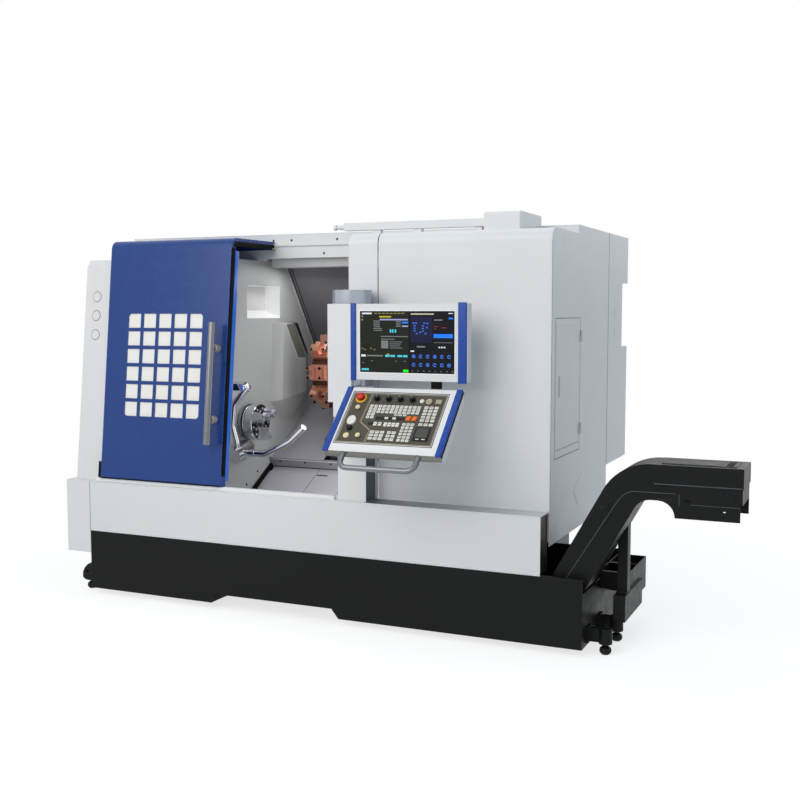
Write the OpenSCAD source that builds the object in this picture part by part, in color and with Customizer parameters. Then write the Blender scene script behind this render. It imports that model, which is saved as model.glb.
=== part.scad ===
// Slant-bed turning centre with sliding door, swivelling operator pendant and chip conveyor.
// Machine axes: X along the spindle, Y to the back, Z up. Millimetres.

/* [Base] */
// Length of the base tray
base_l = 2776; // [2700:1:2900]
// Depth of the base tray, up to the front of the bed
base_d = 736; // [720:1:780]
// Height of the base tray's lower edge above the floor
base_clear = 35; // [30:1:60]
// Height of the base tray's walls
base_h = 321; // [300:1:340]
// Wall of the base tray
base_wall = 6; // [4:0.5:10]
// Left end of the forklift notch
notch_x = 790; // [600:1:1000]
// Length of the forklift notch
notch_l = 750; // [500:1:900]
// Height of the forklift notch
notch_h = 48; // [30:1:60]
// Drop of the right end wall below the tray's rim
end_drop = 66; // [50:1:90]

/* [Levelling feet] */
// Diameter of a levelling foot
foot_d = 56; // [40:1:90]
// Diameter of a levelling screw
stem_d = 20; // [12:1:30]
// Reach of a levelling screw beyond the base's end
foot_reach = 84; // [70:1:110]

/* [Enclosure] */
// Thickness of the sheet metal
sheet = 4; // [3:0.5:6]
// Height of the front apron
apron_h = 276; // [250:1:300]
// Overhang of the apron beyond the base's left end
apron_over = 160; // [140:1:200]
// Depth of the ledge on top of the apron
ledge_d = 137; // [130:1:160]
// Distance from the right cover's side to the base's right end
cover_inset = 195; // [180:1:260]
// Width of the right front cover
cover_w = 879; // [820:1:900]
// Height of the front covers above the ledge
cover_h = 1318; // [1280:1:1360]
// Radius of the covers' bent top edge
cover_r = 55; // [30:1:80]
// Width of the pillar between the door and the right cover
pillar_w = 159; // [140:1:170]
// Dark seam between the pillar and the right cover
seam = 5; // [3:0.5:8]
// Distance of the rear housing's front from the apron
step_y = 604; // [590:1:640]
// Height of the rear housing above the front covers
step_h = 43; // [30:1:60]
// Inset of the left end cover from the apron's left end
left_inset = 32; // [20:1:40]
// Height of the left end cover above the ledge
left_h = 1218; // [1190:1:1250]
// Lower edge of the side panels above the floor
skirt_z = 468; // [440:1:500]
// Distance of the rear cover from the apron
rear_y = 1600; // [1590:1:1680]
// Number of louvres in the rear cover
louvres = 10; // [4:1:14]

/* [Electrical cabinet] */
// Width of the electrical cabinet
cabinet_w = 281; // [250:1:300]
// Distance of the cabinet's front from the apron
cabinet_y = 1243; // [1200:1:1300]
// Distance of the cabinet's back from the apron
back_y = 1720; // [1700:1:1800]
// Lower edge of the cabinet above the floor
cabinet_z = 711; // [650:1:760]
// Opening angle room round the cabinet door
panel_gap = 3; // [2:0.5:6]

/* [Side access door] */
// Front edge of the side door
access_y = 199; // [180:1:220]
// Width of the side door
access_w = 451; // [350:1:500]
// Lower edge of the side door
access_z = 868; // [800:1:950]
// Height of the side door
access_h = 665; // [550:1:750]

/* [Panel hinges] */
// Diameter of a hinge knuckle
hinge_d = 12; // [10:1:16]
// Diameter of a hinge pin
hinge_pin = 6; // [4:0.5:8]
// Length of a hinge knuckle
hinge_l = 28; // [20:1:40]

/* [Sliding door] */
// Left edge of the door when open
door_x = 65; // [50:1:80]
// Width of the door
door_w = 779; // [740:1:790]
// Distance of the door's lower edge behind the apron's front
door_y = 15; // [10:1:25]
// Gap between the ledge and the door's lower edge
door_gap = 18; // [14:1:26]
// Backward lean of the door in degrees
lean = 6.2; // [4:0.1:7]
// Depth of the door's folded edges
door_t = 40; // [30:1:44]
// Radius of the door's bent top edge
door_r = 50; // [30:1:70]
// Width of a window cell
cell_w = 81; // [70:1:84]
// Height of a window cell
cell_h = 77; // [60:1:84]
// Bar between two window cells
cell_bar = 19; // [14:1:24]
// Window columns
cell_cols = 5; // [3:1:5]
// Window rows
cell_rows = 6; // [4:1:7]
// Diameter of the handle bar
grip_d = 36; // [24:1:40]
// Length of the handle bar
grip_l = 636; // [500:1:700]

/* [Spindle and chuck] */
// Distance of the spindle axis from the apron's front
spindle_y = 450; // [440:1:470]
// Height of the spindle axis
spindle_z = 950; // [930:1:980]
// Slant of the bed in degrees
slant = 30; // [29:0.5:31]
// Place of the chamber's left wall
wall_x = 730; // [720:1:760]
// Diameter of the spindle at its bearings
journal_d = 140; // [120:1:150]
// Outer diameter of the spindle bearings
bearing_d = 200; // [180:1:220]
// Radial running clearance of the spindle
run_fit = 0.05; // [0.02:0.01:0.1]
// Bore through the spindle
spindle_bore = 60; // [40:1:70]
// Diameter of the chuck
chuck_d = 200; // [180:1:250]
// Length of the chuck body
chuck_l = 70; // [60:1:90]
// Bore through the chuck
chuck_bore = 52; // [30:1:56]
// Width of a jaw slot
slot_w = 24; // [18:1:28]
// Sliding clearance round the jaws
slide_gap = 0.3; // [0.2:0.05:0.5]
// Height of a top jaw above the chuck's face
jaw_h = 58; // [40:1:70]

/* [Slant bed] */
// Distance from the spindle axis down to the way covers
way_drop = 330; // [320:1:345]
// Thickness of a way cover plate
way_t = 3; // [2:0.5:4]
// Gap between two way cover plates
way_gap = 0.4; // [0.3:0.1:0.8]
// Width of a guide rail
rail_w = 55; // [45:1:65]
// Height of a guide rail
rail_h = 50; // [40:1:55]
// Room between the bed and the way covers
rail_room = 103; // [98:1:112]

/* [Carriage and turret] */
// Left face of the saddle
saddle_x = 1080; // [1075:1:1100]
// Length of the saddle
saddle_l = 340; // [320:1:345]
// Distance from the spindle axis to the turret axis along the slant
turret_s = 530; // [520:1:545]
// Left face of the turret disc
turret_x = 985; // [975:1:1000]
// Length of the turret disc
turret_l = 118; // [100:1:118]
// Width across the flats of the turret disc
turret_af = 300; // [280:1:320]
// Number of turret stations
stations = 8; // [6:1:12]
// Height of a tool holder block
holder_h = 64; // [50:1:70]
// Width of a tool holder block
holder_w = 92; // [70:1:110]

/* [Tool setter] */
// Distance of the setter's hub from the left wall
setter_x = 48; // [45:1:60]
// Diameter of the setter's hub
setter_d = 84; // [70:1:86]
// Diameter of the setter's tubes
tube_d = 28; // [20:1:32]

/* [Pendant] */
// Diameter of the swivel post
post_d = 190; // [170:1:192]
// Height of the pendant column above the ledge
column_h = 368; // [340:1:400]
// Height of the post above the column
post_h = 667; // [640:1:700]
// Width of the monitor case
monitor_w = 589; // [540:1:640]
// Height of the monitor case
monitor_h = 358; // [330:1:380]
// Width of the screen
screen_w = 478; // [440:1:490]
// Height of the screen
screen_h = 286; // [260:1:290]
// Width of the control desk
desk_w = 582; // [560:1:640]
// Length of the control desk along its slope
desk_l = 381; // [370:1:410]
// Thickness of the control desk
desk_t = 60; // [40:1:70]
// Slope of the control desk in degrees
desk_tilt = 45; // [40:1:50]
// Diameter of the emergency stop button
estop_d = 40; // [30:1:46]
// Diameter of the rotary switches
knob_d = 30; // [22:1:36]
// Diameter of the push buttons
button_d = 24; // [16:1:30]

/* [Chip conveyor] */
// Width of the conveyor casing
conv_w = 240; // [200:1:250]
// Depth of the conveyor casing
conv_t = 160; // [140:1:170]
// Incline of the conveyor in degrees
conv_angle = 61; // [58:1:63]
// Height of the conveyor head
conv_top = 895; // [860:1:920]
// Reach of the conveyor head beyond the base
conv_reach = 675; // [640:1:740]
// Foot of the incline, measured back from the base's right end
conv_foot = 166; // [160:1:180]

/* [Hidden] */
$fn = 64;
eps = 0.5;
// Air under parts bolted down on a sloping face
seat = 0.02;
base_top = base_clear + base_h;
tray_floor = base_clear + notch_h + 10;
ledge_z = base_top + apron_h;
cover_top = ledge_z + cover_h;
roof_z = cover_top + step_h;
left_top = ledge_z + left_h;
left_x = left_inset - apron_over;
cover_x1 = base_l - cover_inset;
cover_x0 = cover_x1 - cover_w;
cover_y = ledge_d - sheet;
pillar_x1 = cover_x0 - seam;
pillar_x0 = pillar_x1 - pillar_w;
apron_x1 = cover_x1 - sheet;
cabinet_x = cover_x1 - cabinet_w;
header_x = wall_x + 55;
header_z = cover_top - 90;
lamp_h = 57;
ceiling_z = header_z + 8;
// Door
door_z = ledge_z + door_gap;
strip_v = 36;
recess_v = door_t + 20;
window_w = cell_cols * cell_w + (cell_cols - 1) * cell_bar;
window_h = cell_rows * cell_h + (cell_rows - 1) * cell_bar;
window_x = door_x + 139;
window_z = 350;
// Slant bed
rail_s = [260, 760];
bed_drop = way_drop + rail_room;
way_s0 = 101;
way_s1 = 925;
pan_drop = way_drop + 58;
bed_z = 62;
bed_back = rear_y - 40;
bed_x0 = left_x + 308;
bed_x1 = cabinet_x - 10;
pan_y = 286;
// Carriage
saddle_x1 = saddle_x + saddle_l;
saddle_s = [180, 880];
saddle_h1 = -way_drop + 95;
slide_rail_h = 30;
slide_s = [330, 760];
housing_r = 140;
// Pendant
post_x = (pillar_x0 + pillar_x1) / 2 - 3.5;
post_y = 20;
column_z = ledge_z + column_h;
pendant_y = -100;
monitor_x = post_x + 55;
monitor_z = column_z + 242;
collar_t = 8;
desk_x = monitor_x - 16;
desk_z = monitor_z - 37;
grab_d = 26;
grab_out = 80;
grab_low = 16;
// Conveyor
conv_y = 60;
conv_x1 = base_l + conv_reach;
conv_r = 85;
conv_out_r = conv_r + conv_t;
conv_x0 = wall_x + 30;
trunk_top = tray_floor + conv_t;
bend_cx = base_l - conv_foot - conv_t / 2 * tan(conv_angle / 2) - conv_r * tan(conv_angle / 2);
// The whole machine's box, for the origin at the middle of its floor outline
min_x = -apron_over;
max_x = conv_x1 + sheet;
min_y = pendant_y - (desk_l + grab_out) * cos(desk_tilt) + grab_low * sin(desk_tilt) - grab_d * 0.52;
max_y = back_y + hinge_d + slide_gap;
origin = [(min_x + max_x) / 2, (min_y + max_y) / 2, 0];
white = [0.9, 0.9, 0.89];
black = [0.13, 0.13, 0.14];
blue = [0.1, 0.19, 0.45];
grey = [0.62, 0.63, 0.63];
dark = [0.36, 0.36, 0.38];
steel = [0.78, 0.79, 0.8];
copper = [0.66, 0.38, 0.27];

// Places in the machine

// Depth of the door's leaning plane at a height, moved inward by v
function lean_y(z, v) = door_y + v / cos(lean) + (z - door_z) * tan(lean);
// Height of a plane parallel to the bed at a depth
function slant_z(y, h) = spindle_z + (y - spindle_y) * tan(slant) + h / cos(slant);
// Depth and height of a point given along and across the slant
function slant_point(s, h) = [
  spindle_y + s * cos(slant) - h * sin(slant),
  spindle_z + s * sin(slant) + h * cos(slant)
];
// Distance along the slant at which a plane parallel to the bed reaches a depth
function slant_s(y, h) = (y - spindle_y + h * sin(slant)) / cos(slant);

module machine_frame() { translate(-origin) children(); }

module lean_frame() { translate([0, door_y, door_z]) rotate([-lean, 0, 0]) children(); }

module slant_frame() { translate([0, spindle_y, spindle_z]) rotate([slant, 0, 0]) children(); }

module spindle_frame() { translate([0, spindle_y, spindle_z]) rotate([0, 90, 0]) children(); }

module turret_frame() { slant_frame() translate([0, turret_s, 0]) rotate([-slant, 0, 0]) children(); }

module desk_frame() { translate([desk_x, pendant_y, desk_z]) rotate([desk_tilt, 0, 0]) children(); }

// Building shapes

module block(low, high) { translate(low) cube(high - low); }

module along_x(x, length) { translate([x, 0, 0]) rotate([90, 0, 90]) linear_extrude(length) children(); }

module along_y(y, length) {
  translate([0, y + length, 0]) rotate([90, 0, 0]) linear_extrude(length) children();
}

module rounded_square(size, r) {
  translate([r, 0]) square([size[0] - 2 * r, size[1]]);
  translate([0, r]) square([size[0], size[1] - 2 * r]);
  for (x = [r, size[0] - r], y = [r, size[1] - r]) translate([x, y]) circle(r);
}

// Round bar between two points
module bar(a, b, d) {
  v = b - a;
  translate(a) rotate([0, acos(v[2] / norm(v)), atan2(v[1], v[0])]) cylinder(d = d, h = norm(v));
}

// Bent tube through a list of points
module bent_tube(points, d) {
  for (i = [0 : len(points) - 2]) bar(points[i], points[i + 1], d);
  for (i = [1 : len(points) - 2]) translate(points[i]) sphere(d = d * 1.04);
}

// Hinge knuckles on an axis along Z, outward along X; the leaf is towards -Y
module hinge_leaf() {
  r = hinge_d / 2;
  difference() {
    union() {
      cylinder(d = hinge_d, h = hinge_l);
      block([-r - slide_gap - eps, -20, 0], [-r / 2, 0, hinge_l]);
    }
    translate([0, 0, -eps]) cylinder(d = hinge_pin + 2 * run_fit, h = hinge_l + 2 * eps);
  }
}

module hinge_fixed() {
  r = hinge_d / 2;
  cylinder(d = hinge_pin, h = hinge_l + 1);
  translate([0, 0, hinge_l + way_gap]) {
    cylinder(d = hinge_d, h = hinge_l);
    block([-r - slide_gap - eps, 0, 0], [-r / 2, 20, hinge_l]);
  }
}

hinge_at = [0.12, 0.82];

module side_hinges() {
  for (h = hinge_at) {
    translate([cover_x1 + hinge_d / 2 + slide_gap, access_y + access_w, access_z + h * access_h]) children();
  }
}

module cabinet_hinges() {
  for (h = hinge_at) {
    z = panel_z[0] + h * (panel_z[1] - panel_z[0]);
    translate([panel_x[0], back_y + hinge_d / 2 + slide_gap, z]) rotate([0, 0, 90]) children();
  }
}

// Base

bracket_z = base_clear + 14;
bracket_h = 76;

module levelling_bracket() {
  boss = stem_d + 42;
  translate([0, 0, bracket_z]) difference() {
    union() {
      block([0, -boss / 2, 0], [12, boss / 2, bracket_h]);
      block([0, -boss / 4, 6], [foot_reach, boss / 4, bracket_h - 8]);
      translate([foot_reach, 0, 0]) cylinder(d = boss, h = bracket_h - 4);
    }
    translate([foot_reach, 0, -eps]) cylinder(d = stem_d + 2 * slide_gap, h = bracket_h + 2 * eps);
  }
}

foot_y = [106, 331];

module base_tray() {
  machine_frame() color(black) {
    difference() {
      block([0, 0, base_clear], [base_l, base_d, base_top]);
      block(
        [base_wall, base_wall, base_clear - eps],
        [base_l - base_wall, base_d - base_wall, base_top + eps]
      );
      translate([0, -eps, 0]) along_y(0, base_d + 2 * eps) polygon([
        [notch_x, base_clear - eps], [notch_x, base_clear + notch_h - 12],
        [notch_x + 12, base_clear + notch_h], [notch_x + notch_l - 40, base_clear + notch_h],
        [notch_x + notch_l, base_clear - eps]
      ]);
      block(
        [base_l - base_wall - eps, base_wall, base_top - end_drop],
        [base_l + eps, base_d - base_wall, base_top + eps]
      );
    }
    block(
      [base_wall, base_wall, tray_floor - base_wall],
      [base_l - base_wall, base_d - base_wall, tray_floor]
    );
    block([0, base_wall, base_top - base_wall], [base_l, 30, base_top]);
    block([apron_x1 - 12, sheet, base_top], [apron_x1 - 6, 30, base_top + eps]);
    block([apron_x1 - 12, sheet + 1, base_top], [apron_x1 - 6, ledge_d - 4, ledge_z - sheet - 1]);
    for (y = foot_y) {
      translate([base_l, y, 0]) levelling_bracket();
      translate([0, y, 0]) mirror([1, 0, 0]) levelling_bracket();
    }
  }
}

module foot(top) {
  rotate_extrude() polygon([
    [0, 0], [foot_d / 2 - 11, 0], [foot_d / 2 - 2, 9], [foot_d / 2, 19], [foot_d / 2 - 3, 30],
    [stem_d / 2 + 5, 38], [stem_d / 2, 40], [stem_d / 2, top], [0, top]
  ]);
}

module levelling_feet() {
  machine_frame() color(black) {
    for (x = [-foot_reach, base_l + foot_reach], y = foot_y) {
      translate([x, y, 0]) foot(bracket_z + bracket_h + 3);
    }
    for (x = [bed_x0 + 120, bed_x1 - 120], y = [base_d + 120, bed_back - 120]) {
      translate([x, y, 0]) foot(bed_z);
    }
  }
}

// Bed and headstock

module bed_casting() {
  wall = 60;
  ribs = [6, 2];
  y1 = slant_point(960, -bed_drop)[0];
  margin = 170;
  bay = [(bed_x1 - bed_x0 - wall) / ribs[0], (bed_back - base_d - 2 * margin + wall) / ribs[1]];
  machine_frame() color(dark) difference() {
    along_x(bed_x0, bed_x1 - bed_x0) polygon([
      [base_d, bed_z], [base_d, slant_z(base_d, -bed_drop)], [y1, slant_z(y1, -bed_drop)],
      [bed_back, slant_z(y1, -bed_drop)], [bed_back, bed_z]
    ]);
    // Cored pockets; the solid margins carry the levelling feet
    for (i = [0 : ribs[0] - 1], j = [0 : ribs[1] - 1]) {
      y = base_d + margin + j * bay[1];
      y2 = y + bay[1] - wall;
      along_x(bed_x0 + wall + i * bay[0], bay[0] - wall) polygon([
        [y, bed_z - eps], [y, slant_z(y, -bed_drop - wall)],
        [y2, slant_z(y2, -bed_drop - wall)], [y2, bed_z - eps]
      ]);
    }
  }
}

module bed_rails() {
  x0 = wall_x + 30;
  c = rail_w / 6;
  machine_frame() color(steel) slant_frame() for (s = rail_s) translate([0, s, seat - bed_drop])
    along_x(x0, bed_x1 - 10 - x0) polygon([
    [-rail_w / 2, 0], [rail_w / 2, 0], [rail_w / 2, rail_h * 0.35], [rail_w / 2 - c, rail_h * 0.5],
    [rail_w / 2 - c, rail_h * 0.65], [rail_w / 2, rail_h * 0.8], [rail_w / 2, rail_h],
    [-rail_w / 2, rail_h], [-rail_w / 2, rail_h * 0.8], [-rail_w / 2 + c, rail_h * 0.65],
    [-rail_w / 2 + c, rail_h * 0.5], [-rail_w / 2, rail_h * 0.35]
  ]);
}

head_x0 = bed_x0 + 20;
head_x1 = wall_x - 40;

module headstock_housing() {
  r = bearing_d / 2 + 90;
  foot0 = slant_s(base_d, -bed_drop) + 10;
  machine_frame() color(dark) difference() {
    slant_frame() along_x(head_x0, head_x1 - head_x0) polygon([
      [foot0, seat - bed_drop], [foot0 + 350, seat - bed_drop], [foot0 + 350, -bed_drop + 90], [r, -60],
      [r, r - 40], [r - 40, r], [40 - r, r], [-r, r - 40], [-r, 60 - r], [60 - r, -r],
      [foot0, -r - 60]
    ]);
    translate([head_x0 - eps, 0, 0]) spindle_frame()
      cylinder(d = bearing_d, h = head_x1 - head_x0 + 2 * eps);
  }
}

bearing_l = 50;

module spindle_bearings() {
  places = [head_x0 + 30, head_x1 - 30 - bearing_l];
  machine_frame() color(steel) for (x = places) translate([x, 0, 0]) spindle_frame() difference() {
    cylinder(d = bearing_d - 2 * run_fit, h = bearing_l);
    translate([0, 0, -eps]) cylinder(d = journal_d + 2 * run_fit, h = bearing_l + 2 * eps);
  }
}

// Enclosure

module front_apron() {
  drop = 124;
  machine_frame() color(white) {
    along_x(-apron_over, apron_x1 + apron_over) polygon([
      [0, base_top], [0, ledge_z], [ledge_d, ledge_z], [ledge_d, ledge_z - sheet],
      [sheet, ledge_z - sheet], [sheet, base_top]
    ]);
    block([-apron_over, 0, base_top - drop], [0, sheet, base_top]);
    block([-apron_over, 0, base_top - drop], [sheet - apron_over, ledge_d, ledge_z]);
  }
}

rail_y = door_y + 8;

module door_lower_rail() {
  machine_frame() color(steel) block(
    [door_x - 40, rail_y, ledge_z],
    [pillar_x0 - 30, rail_y + 20, door_z - way_gap]
  );
}

// Outline of a bent cover's inside, moved inward by off
module cover_inside(off) {
  c = [cover_y + cover_r, cover_top - cover_r];
  translate([cover_y + off, ledge_z]) square([step_y - cover_y - off, c[1] - ledge_z]);
  translate(c) circle(cover_r - off);
  translate([c[0], ledge_z]) square([step_y - c[0], cover_top - off - ledge_z]);
}

module cover_sheet(x, length) {
  along_x(x, length) difference() {
    cover_inside(0);
    cover_inside(sheet);
  }
}

module centre_pillar() {
  machine_frame() color(white) {
    cover_sheet(pillar_x0, pillar_w);
    along_x(pillar_x0, sheet) difference() {
      cover_inside(0);
      translate([cover_y + 120, ledge_z - eps]) square([step_y, header_z - ledge_z]);
    }
  }
}

module right_front_cover() {
  machine_frame() color(white) cover_sheet(cover_x0, cover_w - sheet);
}

module right_side_panel() {
  machine_frame() color(white) along_x(cover_x1 - sheet, sheet) difference() {
    union() {
      cover_inside(0);
      translate([cover_y, skirt_z]) square([cabinet_y - cover_y, ledge_z - skirt_z + eps]);
      translate([step_y - eps, skirt_z]) square([cabinet_y - step_y + eps, roof_z - skirt_z]);
    }
    translate([access_y, access_z]) square([access_w, access_h]);
  }
  machine_frame() color(white) side_hinges() hinge_fixed();
}

module left_profile(v) {
  t = sheet / cos(lean);
  b = left_top - 39;
  y = lean_y(b, v);
  polygon([
    [lean_y(ledge_z, v), ledge_z], [y, b], [y + 28, left_top], [step_y, left_top],
    [step_y, left_top - sheet], [y + 30, left_top - sheet], [y + t, b - 2], [lean_y(ledge_z, v) + t, ledge_z]
  ]);
}

strip_x1 = door_x - 3;
knockouts = [1655, 1550, 1443];

module left_end_cover() {
  t = sheet / cos(lean);
  b = left_top - 39;
  y = lean_y(b, strip_v);
  machine_frame() color(white) {
    along_x(left_x, sheet) difference() {
      polygon([
        [lean_y(ledge_z, strip_v), ledge_z], [y, b], [y + 28, left_top], [step_y, left_top],
        [step_y, roof_z], [rear_y, roof_z], [rear_y, skirt_z], [ledge_d, skirt_z], [ledge_d, ledge_z]
      ]);
      translate([spindle_y, spindle_z]) circle(d = spindle_bore + 30);
    }
    along_x(left_x + sheet, strip_x1 - left_x - sheet) left_profile(strip_v);
    along_x(strip_x1, wall_x - sheet - strip_x1) left_profile(recess_v);
    along_x(strip_x1 - sheet, sheet) polygon([
      [lean_y(ledge_z, strip_v), ledge_z], [y, b], [lean_y(b, recess_v) + t, b],
      [lean_y(ledge_z, recess_v) + t, ledge_z]
    ]);
    for (z = knockouts) lean_frame() translate([left_x + 78, strip_v - 2, z - door_z])
      rotate([-90, 0, 0]) difference() {
      cylinder(d = 54, h = 3);
      translate([0, 0, -eps]) cylinder(d = 46, h = 1 + eps);
    }
  }
}

module roof_panel() {
  machine_frame() color(white) {
    block([left_x + sheet, step_y, roof_z - sheet], [cabinet_x, rear_y, roof_z]);
    block([cabinet_x - eps, step_y, roof_z - sheet], [cover_x1 - sheet, cabinet_y, roof_z]);
  }
}

guide_z = cover_top - 24;

module header_beam() {
  machine_frame() color(white) {
    along_y(step_y, sheet) polygon([
      [left_x + sheet, left_top - sheet], [header_x, left_top - sheet], [header_x, header_z],
      [pillar_x0, header_z], [pillar_x0, cover_top - sheet], [cover_x1 - sheet, cover_top - sheet],
      [cover_x1 - sheet, roof_z - sheet], [left_x + sheet, roof_z - sheet]
    ]);
    block([header_x, step_y, header_z], [pillar_x0, step_y + 34, header_z + sheet]);
    block([door_x, step_y - 12 + way_gap, guide_z], [pillar_x0, step_y + eps, guide_z + 12]);
  }
}

lamp_y = step_y + 38;

module work_lamp() {
  machine_frame() color(grey) difference() {
    block([header_x + 12, lamp_y, ceiling_z - lamp_h], [pillar_x0 - 12, lamp_y + 120, ceiling_z]);
    block(
      [header_x + 42, lamp_y + 30, ceiling_z - lamp_h - eps],
      [pillar_x0 - 42, lamp_y + 90, ceiling_z - lamp_h + 6]
    );
  }
}

module rear_cover() {
  slot = [260, 14];
  machine_frame() color(white) difference() {
    block([left_x + sheet, rear_y - sheet, skirt_z], [cabinet_x, rear_y, roof_z - sheet]);
    for (x = [360, 1500], i = [0 : louvres - 1]) translate([x, rear_y, roof_z - 520 + i * 32]) {
      block([0, -sheet - eps, 0], [slot[0], eps, slot[1]]);
    }
  }
}

notch_y = back_y - 137;
notch_z = [1359, 1728];
notch_d = 60;
panel_x = [cabinet_x + 24, cover_x1 - notch_d - 24];
panel_z = [cabinet_z + 34, roof_z - 34];

module cabinet_box(off) {
  difference() {
    block([cabinet_x + off, cabinet_y + off, cabinet_z + off], [cover_x1 - off, back_y - off, roof_z - off]);
    block(
      [cover_x1 - notch_d - off, notch_y - off, notch_z[0] - off],
      [cover_x1 + eps, back_y + eps, notch_z[1] + off]
    );
  }
}

module electrical_cabinet() {
  machine_frame() color(white) difference() {
    cabinet_box(0);
    cabinet_box(sheet);
    block(
      [panel_x[0], back_y - 2 * sheet, panel_z[0]],
      [panel_x[1], back_y + eps, panel_z[1]]
    );
  }
  machine_frame() color(white) cabinet_hinges() hinge_fixed();
}

module electrical_door() {
  g = panel_gap;
  x = [panel_x[0] + g, panel_x[1] - g];
  z = [panel_z[0] + g, panel_z[1] - g];
  machine_frame() color(white) difference() {
    block([x[0], back_y - 20, z[0]], [x[1], back_y, z[1]]);
    block([x[0] + sheet, back_y - 20 - eps, z[0] + sheet], [x[1] - sheet, back_y - sheet, z[1] - sheet]);
    for (h = [0.2, 0.8]) {
      translate([x[1] - 30, back_y + eps, z[0] + h * (z[1] - z[0])])
        rotate([90, 0, 0]) cylinder(d = 24, h = 2 + eps);
    }
  }
  machine_frame() color(white) cabinet_hinges() hinge_leaf();
}

module side_access_door() {
  g = panel_gap;
  y = [access_y + g, access_y + access_w - g];
  z = [access_z + g, access_z + access_h - g];
  slot_y = y[0] + 56;
  slot_z = (z[0] + z[1]) / 2 - 42;
  machine_frame() color(white) difference() {
    block([cover_x1 - 18, y[0], z[0]], [cover_x1, y[1], z[1]]);
    difference() {
      block(
        [cover_x1 - 18 - eps, y[0] + sheet, z[0] + sheet],
        [cover_x1 - sheet, y[1] - sheet, z[1] - sheet]
      );
      block(
        [cover_x1 - 18 - 2 * eps, slot_y - sheet, slot_z - sheet],
        [cover_x1, slot_y + 22 + sheet, slot_z + 100 + sheet]
      );
    }
    block([cover_x1 - 14, slot_y, slot_z], [cover_x1 + eps, slot_y + 22, slot_z + 100]);
  }
  machine_frame() color(white) side_hinges() hinge_leaf();
}

// Work chamber

niche_y = [478, 838];
niche_z = [1524, 1710];
niche_d = 107;
back_top = [895, ceiling_z];

module headstock_wall() {
  lift = -bed_drop + 8;
  edge = base_d - 10;
  rear = slant_point(way_s1 + 4, lift);
  front = lean_y(ledge_z, recess_v);
  cowl_h = 62;
  machine_frame() color(grey) {
    along_x(wall_x - sheet, sheet) difference() {
      polygon([
        [front, ledge_z], [lean_y(left_top - 40, recess_v), left_top - 40],
        [lean_y(left_top - 40, recess_v) + 30, left_top], [step_y, left_top],
        [step_y, left_top - sheet], [step_y + sheet, left_top - sheet],
        [step_y + sheet, ceiling_z], back_top, rear, [edge, slant_z(edge, lift)], [edge, base_top + 40],
        [ledge_d, base_top + 40], [ledge_d, ledge_z]
      ]);
      translate([niche_y[0], niche_z[0]]) square([niche_y[1] - niche_y[0], niche_z[1] - niche_z[0]]);
      translate([spindle_y, spindle_z]) circle(d = journal_d - 4);
      polygon([[916, 1494], [1050, 1496], [1180, 1300], [1046, 1298]]);
    }
    difference() {
      block(
        [wall_x - niche_d, niche_y[0] - sheet, niche_z[0] - sheet],
        [wall_x - sheet + eps, niche_y[1] + sheet, niche_z[1] + sheet]
      );
      difference() {
        block([wall_x - niche_d + sheet, niche_y[0], niche_z[0]], [wall_x + eps, niche_y[1], niche_z[1]]);
        along_y(niche_y[0] - eps, niche_y[1] - niche_y[0] + 2 * eps) polygon([
          [wall_x - niche_d, niche_z[0] - eps], [wall_x - niche_d, niche_z[0] + 46],
          [wall_x, niche_z[0] - eps]
        ]);
      }
    }
    hull() {
      along_x(wall_x - 1, 1) polygon([
        [748, 1500], [908, 1500], [1042, 1292], [1168, 1288],
        [1168, 1020], [961, 920], [840, 936], [716, 1041]
      ]);
      along_x(wall_x + cowl_h, 1) polygon([
        [772, 1490], [896, 1490], [1030, 1286], [1036, 1086], [748, 1052]
      ]);
    }
  }
}

module chamber_back_wall() {
  low = slant_point(way_s1, -way_drop - 4 * (way_t + way_gap)) + [way_t + way_gap, 0];
  machine_frame() color(dark) along_x(wall_x, bed_x1 - wall_x) polygon([
    low, back_top, [step_y + sheet, ceiling_z], [step_y + sheet, ceiling_z + sheet],
    [back_top[0] + 2, ceiling_z + sheet], [low[0] + 5, low[1]]
  ]);
}

// Telescopic way covers: level 0 is the lowest plate
function way_h(level) = -way_drop - (4 - level) * way_t - (3 - level) * way_gap;
way_fixed_x1 = 960;
way_right_x0 = saddle_x1 + 0.462 * (bed_x1 - saddle_x1);

module way_plate(x0, x1, level, front_gap) {
  h = way_h(level);
  slant_frame() block([x0, way_s0 + front_gap, h], [x1, way_s1 - front_gap, h + way_t]);
}

module way_cover_fixed() {
  machine_frame() color(dark) {
    slant_frame() block([wall_x, way_s0 - 6, -pan_drop], [bed_x1, way_s0, -way_drop + 8]);
    way_plate(wall_x, way_fixed_x1, 0, 0);
    way_plate(way_right_x0, bed_x1, 2, 0);
  }
}

way_l = 225;

module way_cover_a() {
  x0 = saddle_x - 289;
  machine_frame() color(dark) way_plate(x0, x0 + way_l, 1, way_gap);
}

module way_cover_b() {
  x0 = saddle_x - 257;
  machine_frame() color(dark) way_plate(x0, x0 + way_l, 2, way_gap);
}

module saddle_cover() {
  machine_frame() color(dark) {
    way_plate(saddle_x - way_l, saddle_x, 3, way_gap);
    way_plate(saddle_x1, way_right_x0 + 63, 3, way_gap);
  }
}

module chip_pan() {
  s0 = slant_s(pan_y, -pan_drop - way_t);
  z1 = slant_point(s0, -pan_drop - way_t)[1];
  l = bed_x1 - wall_x;
  machine_frame() color(dark) {
    slant_frame() block([wall_x, s0, -pan_drop - way_t], [bed_x1, way_s0, -pan_drop]);
    translate([wall_x, pan_y - 1, trunk_top]) cube([l, way_t, z1 - trunk_top + 2]);
    translate([wall_x, ledge_d, trunk_top]) cube([l, way_t, ledge_z - trunk_top]);
  }
}

// Roof fittings

duct_y = 286;

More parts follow.
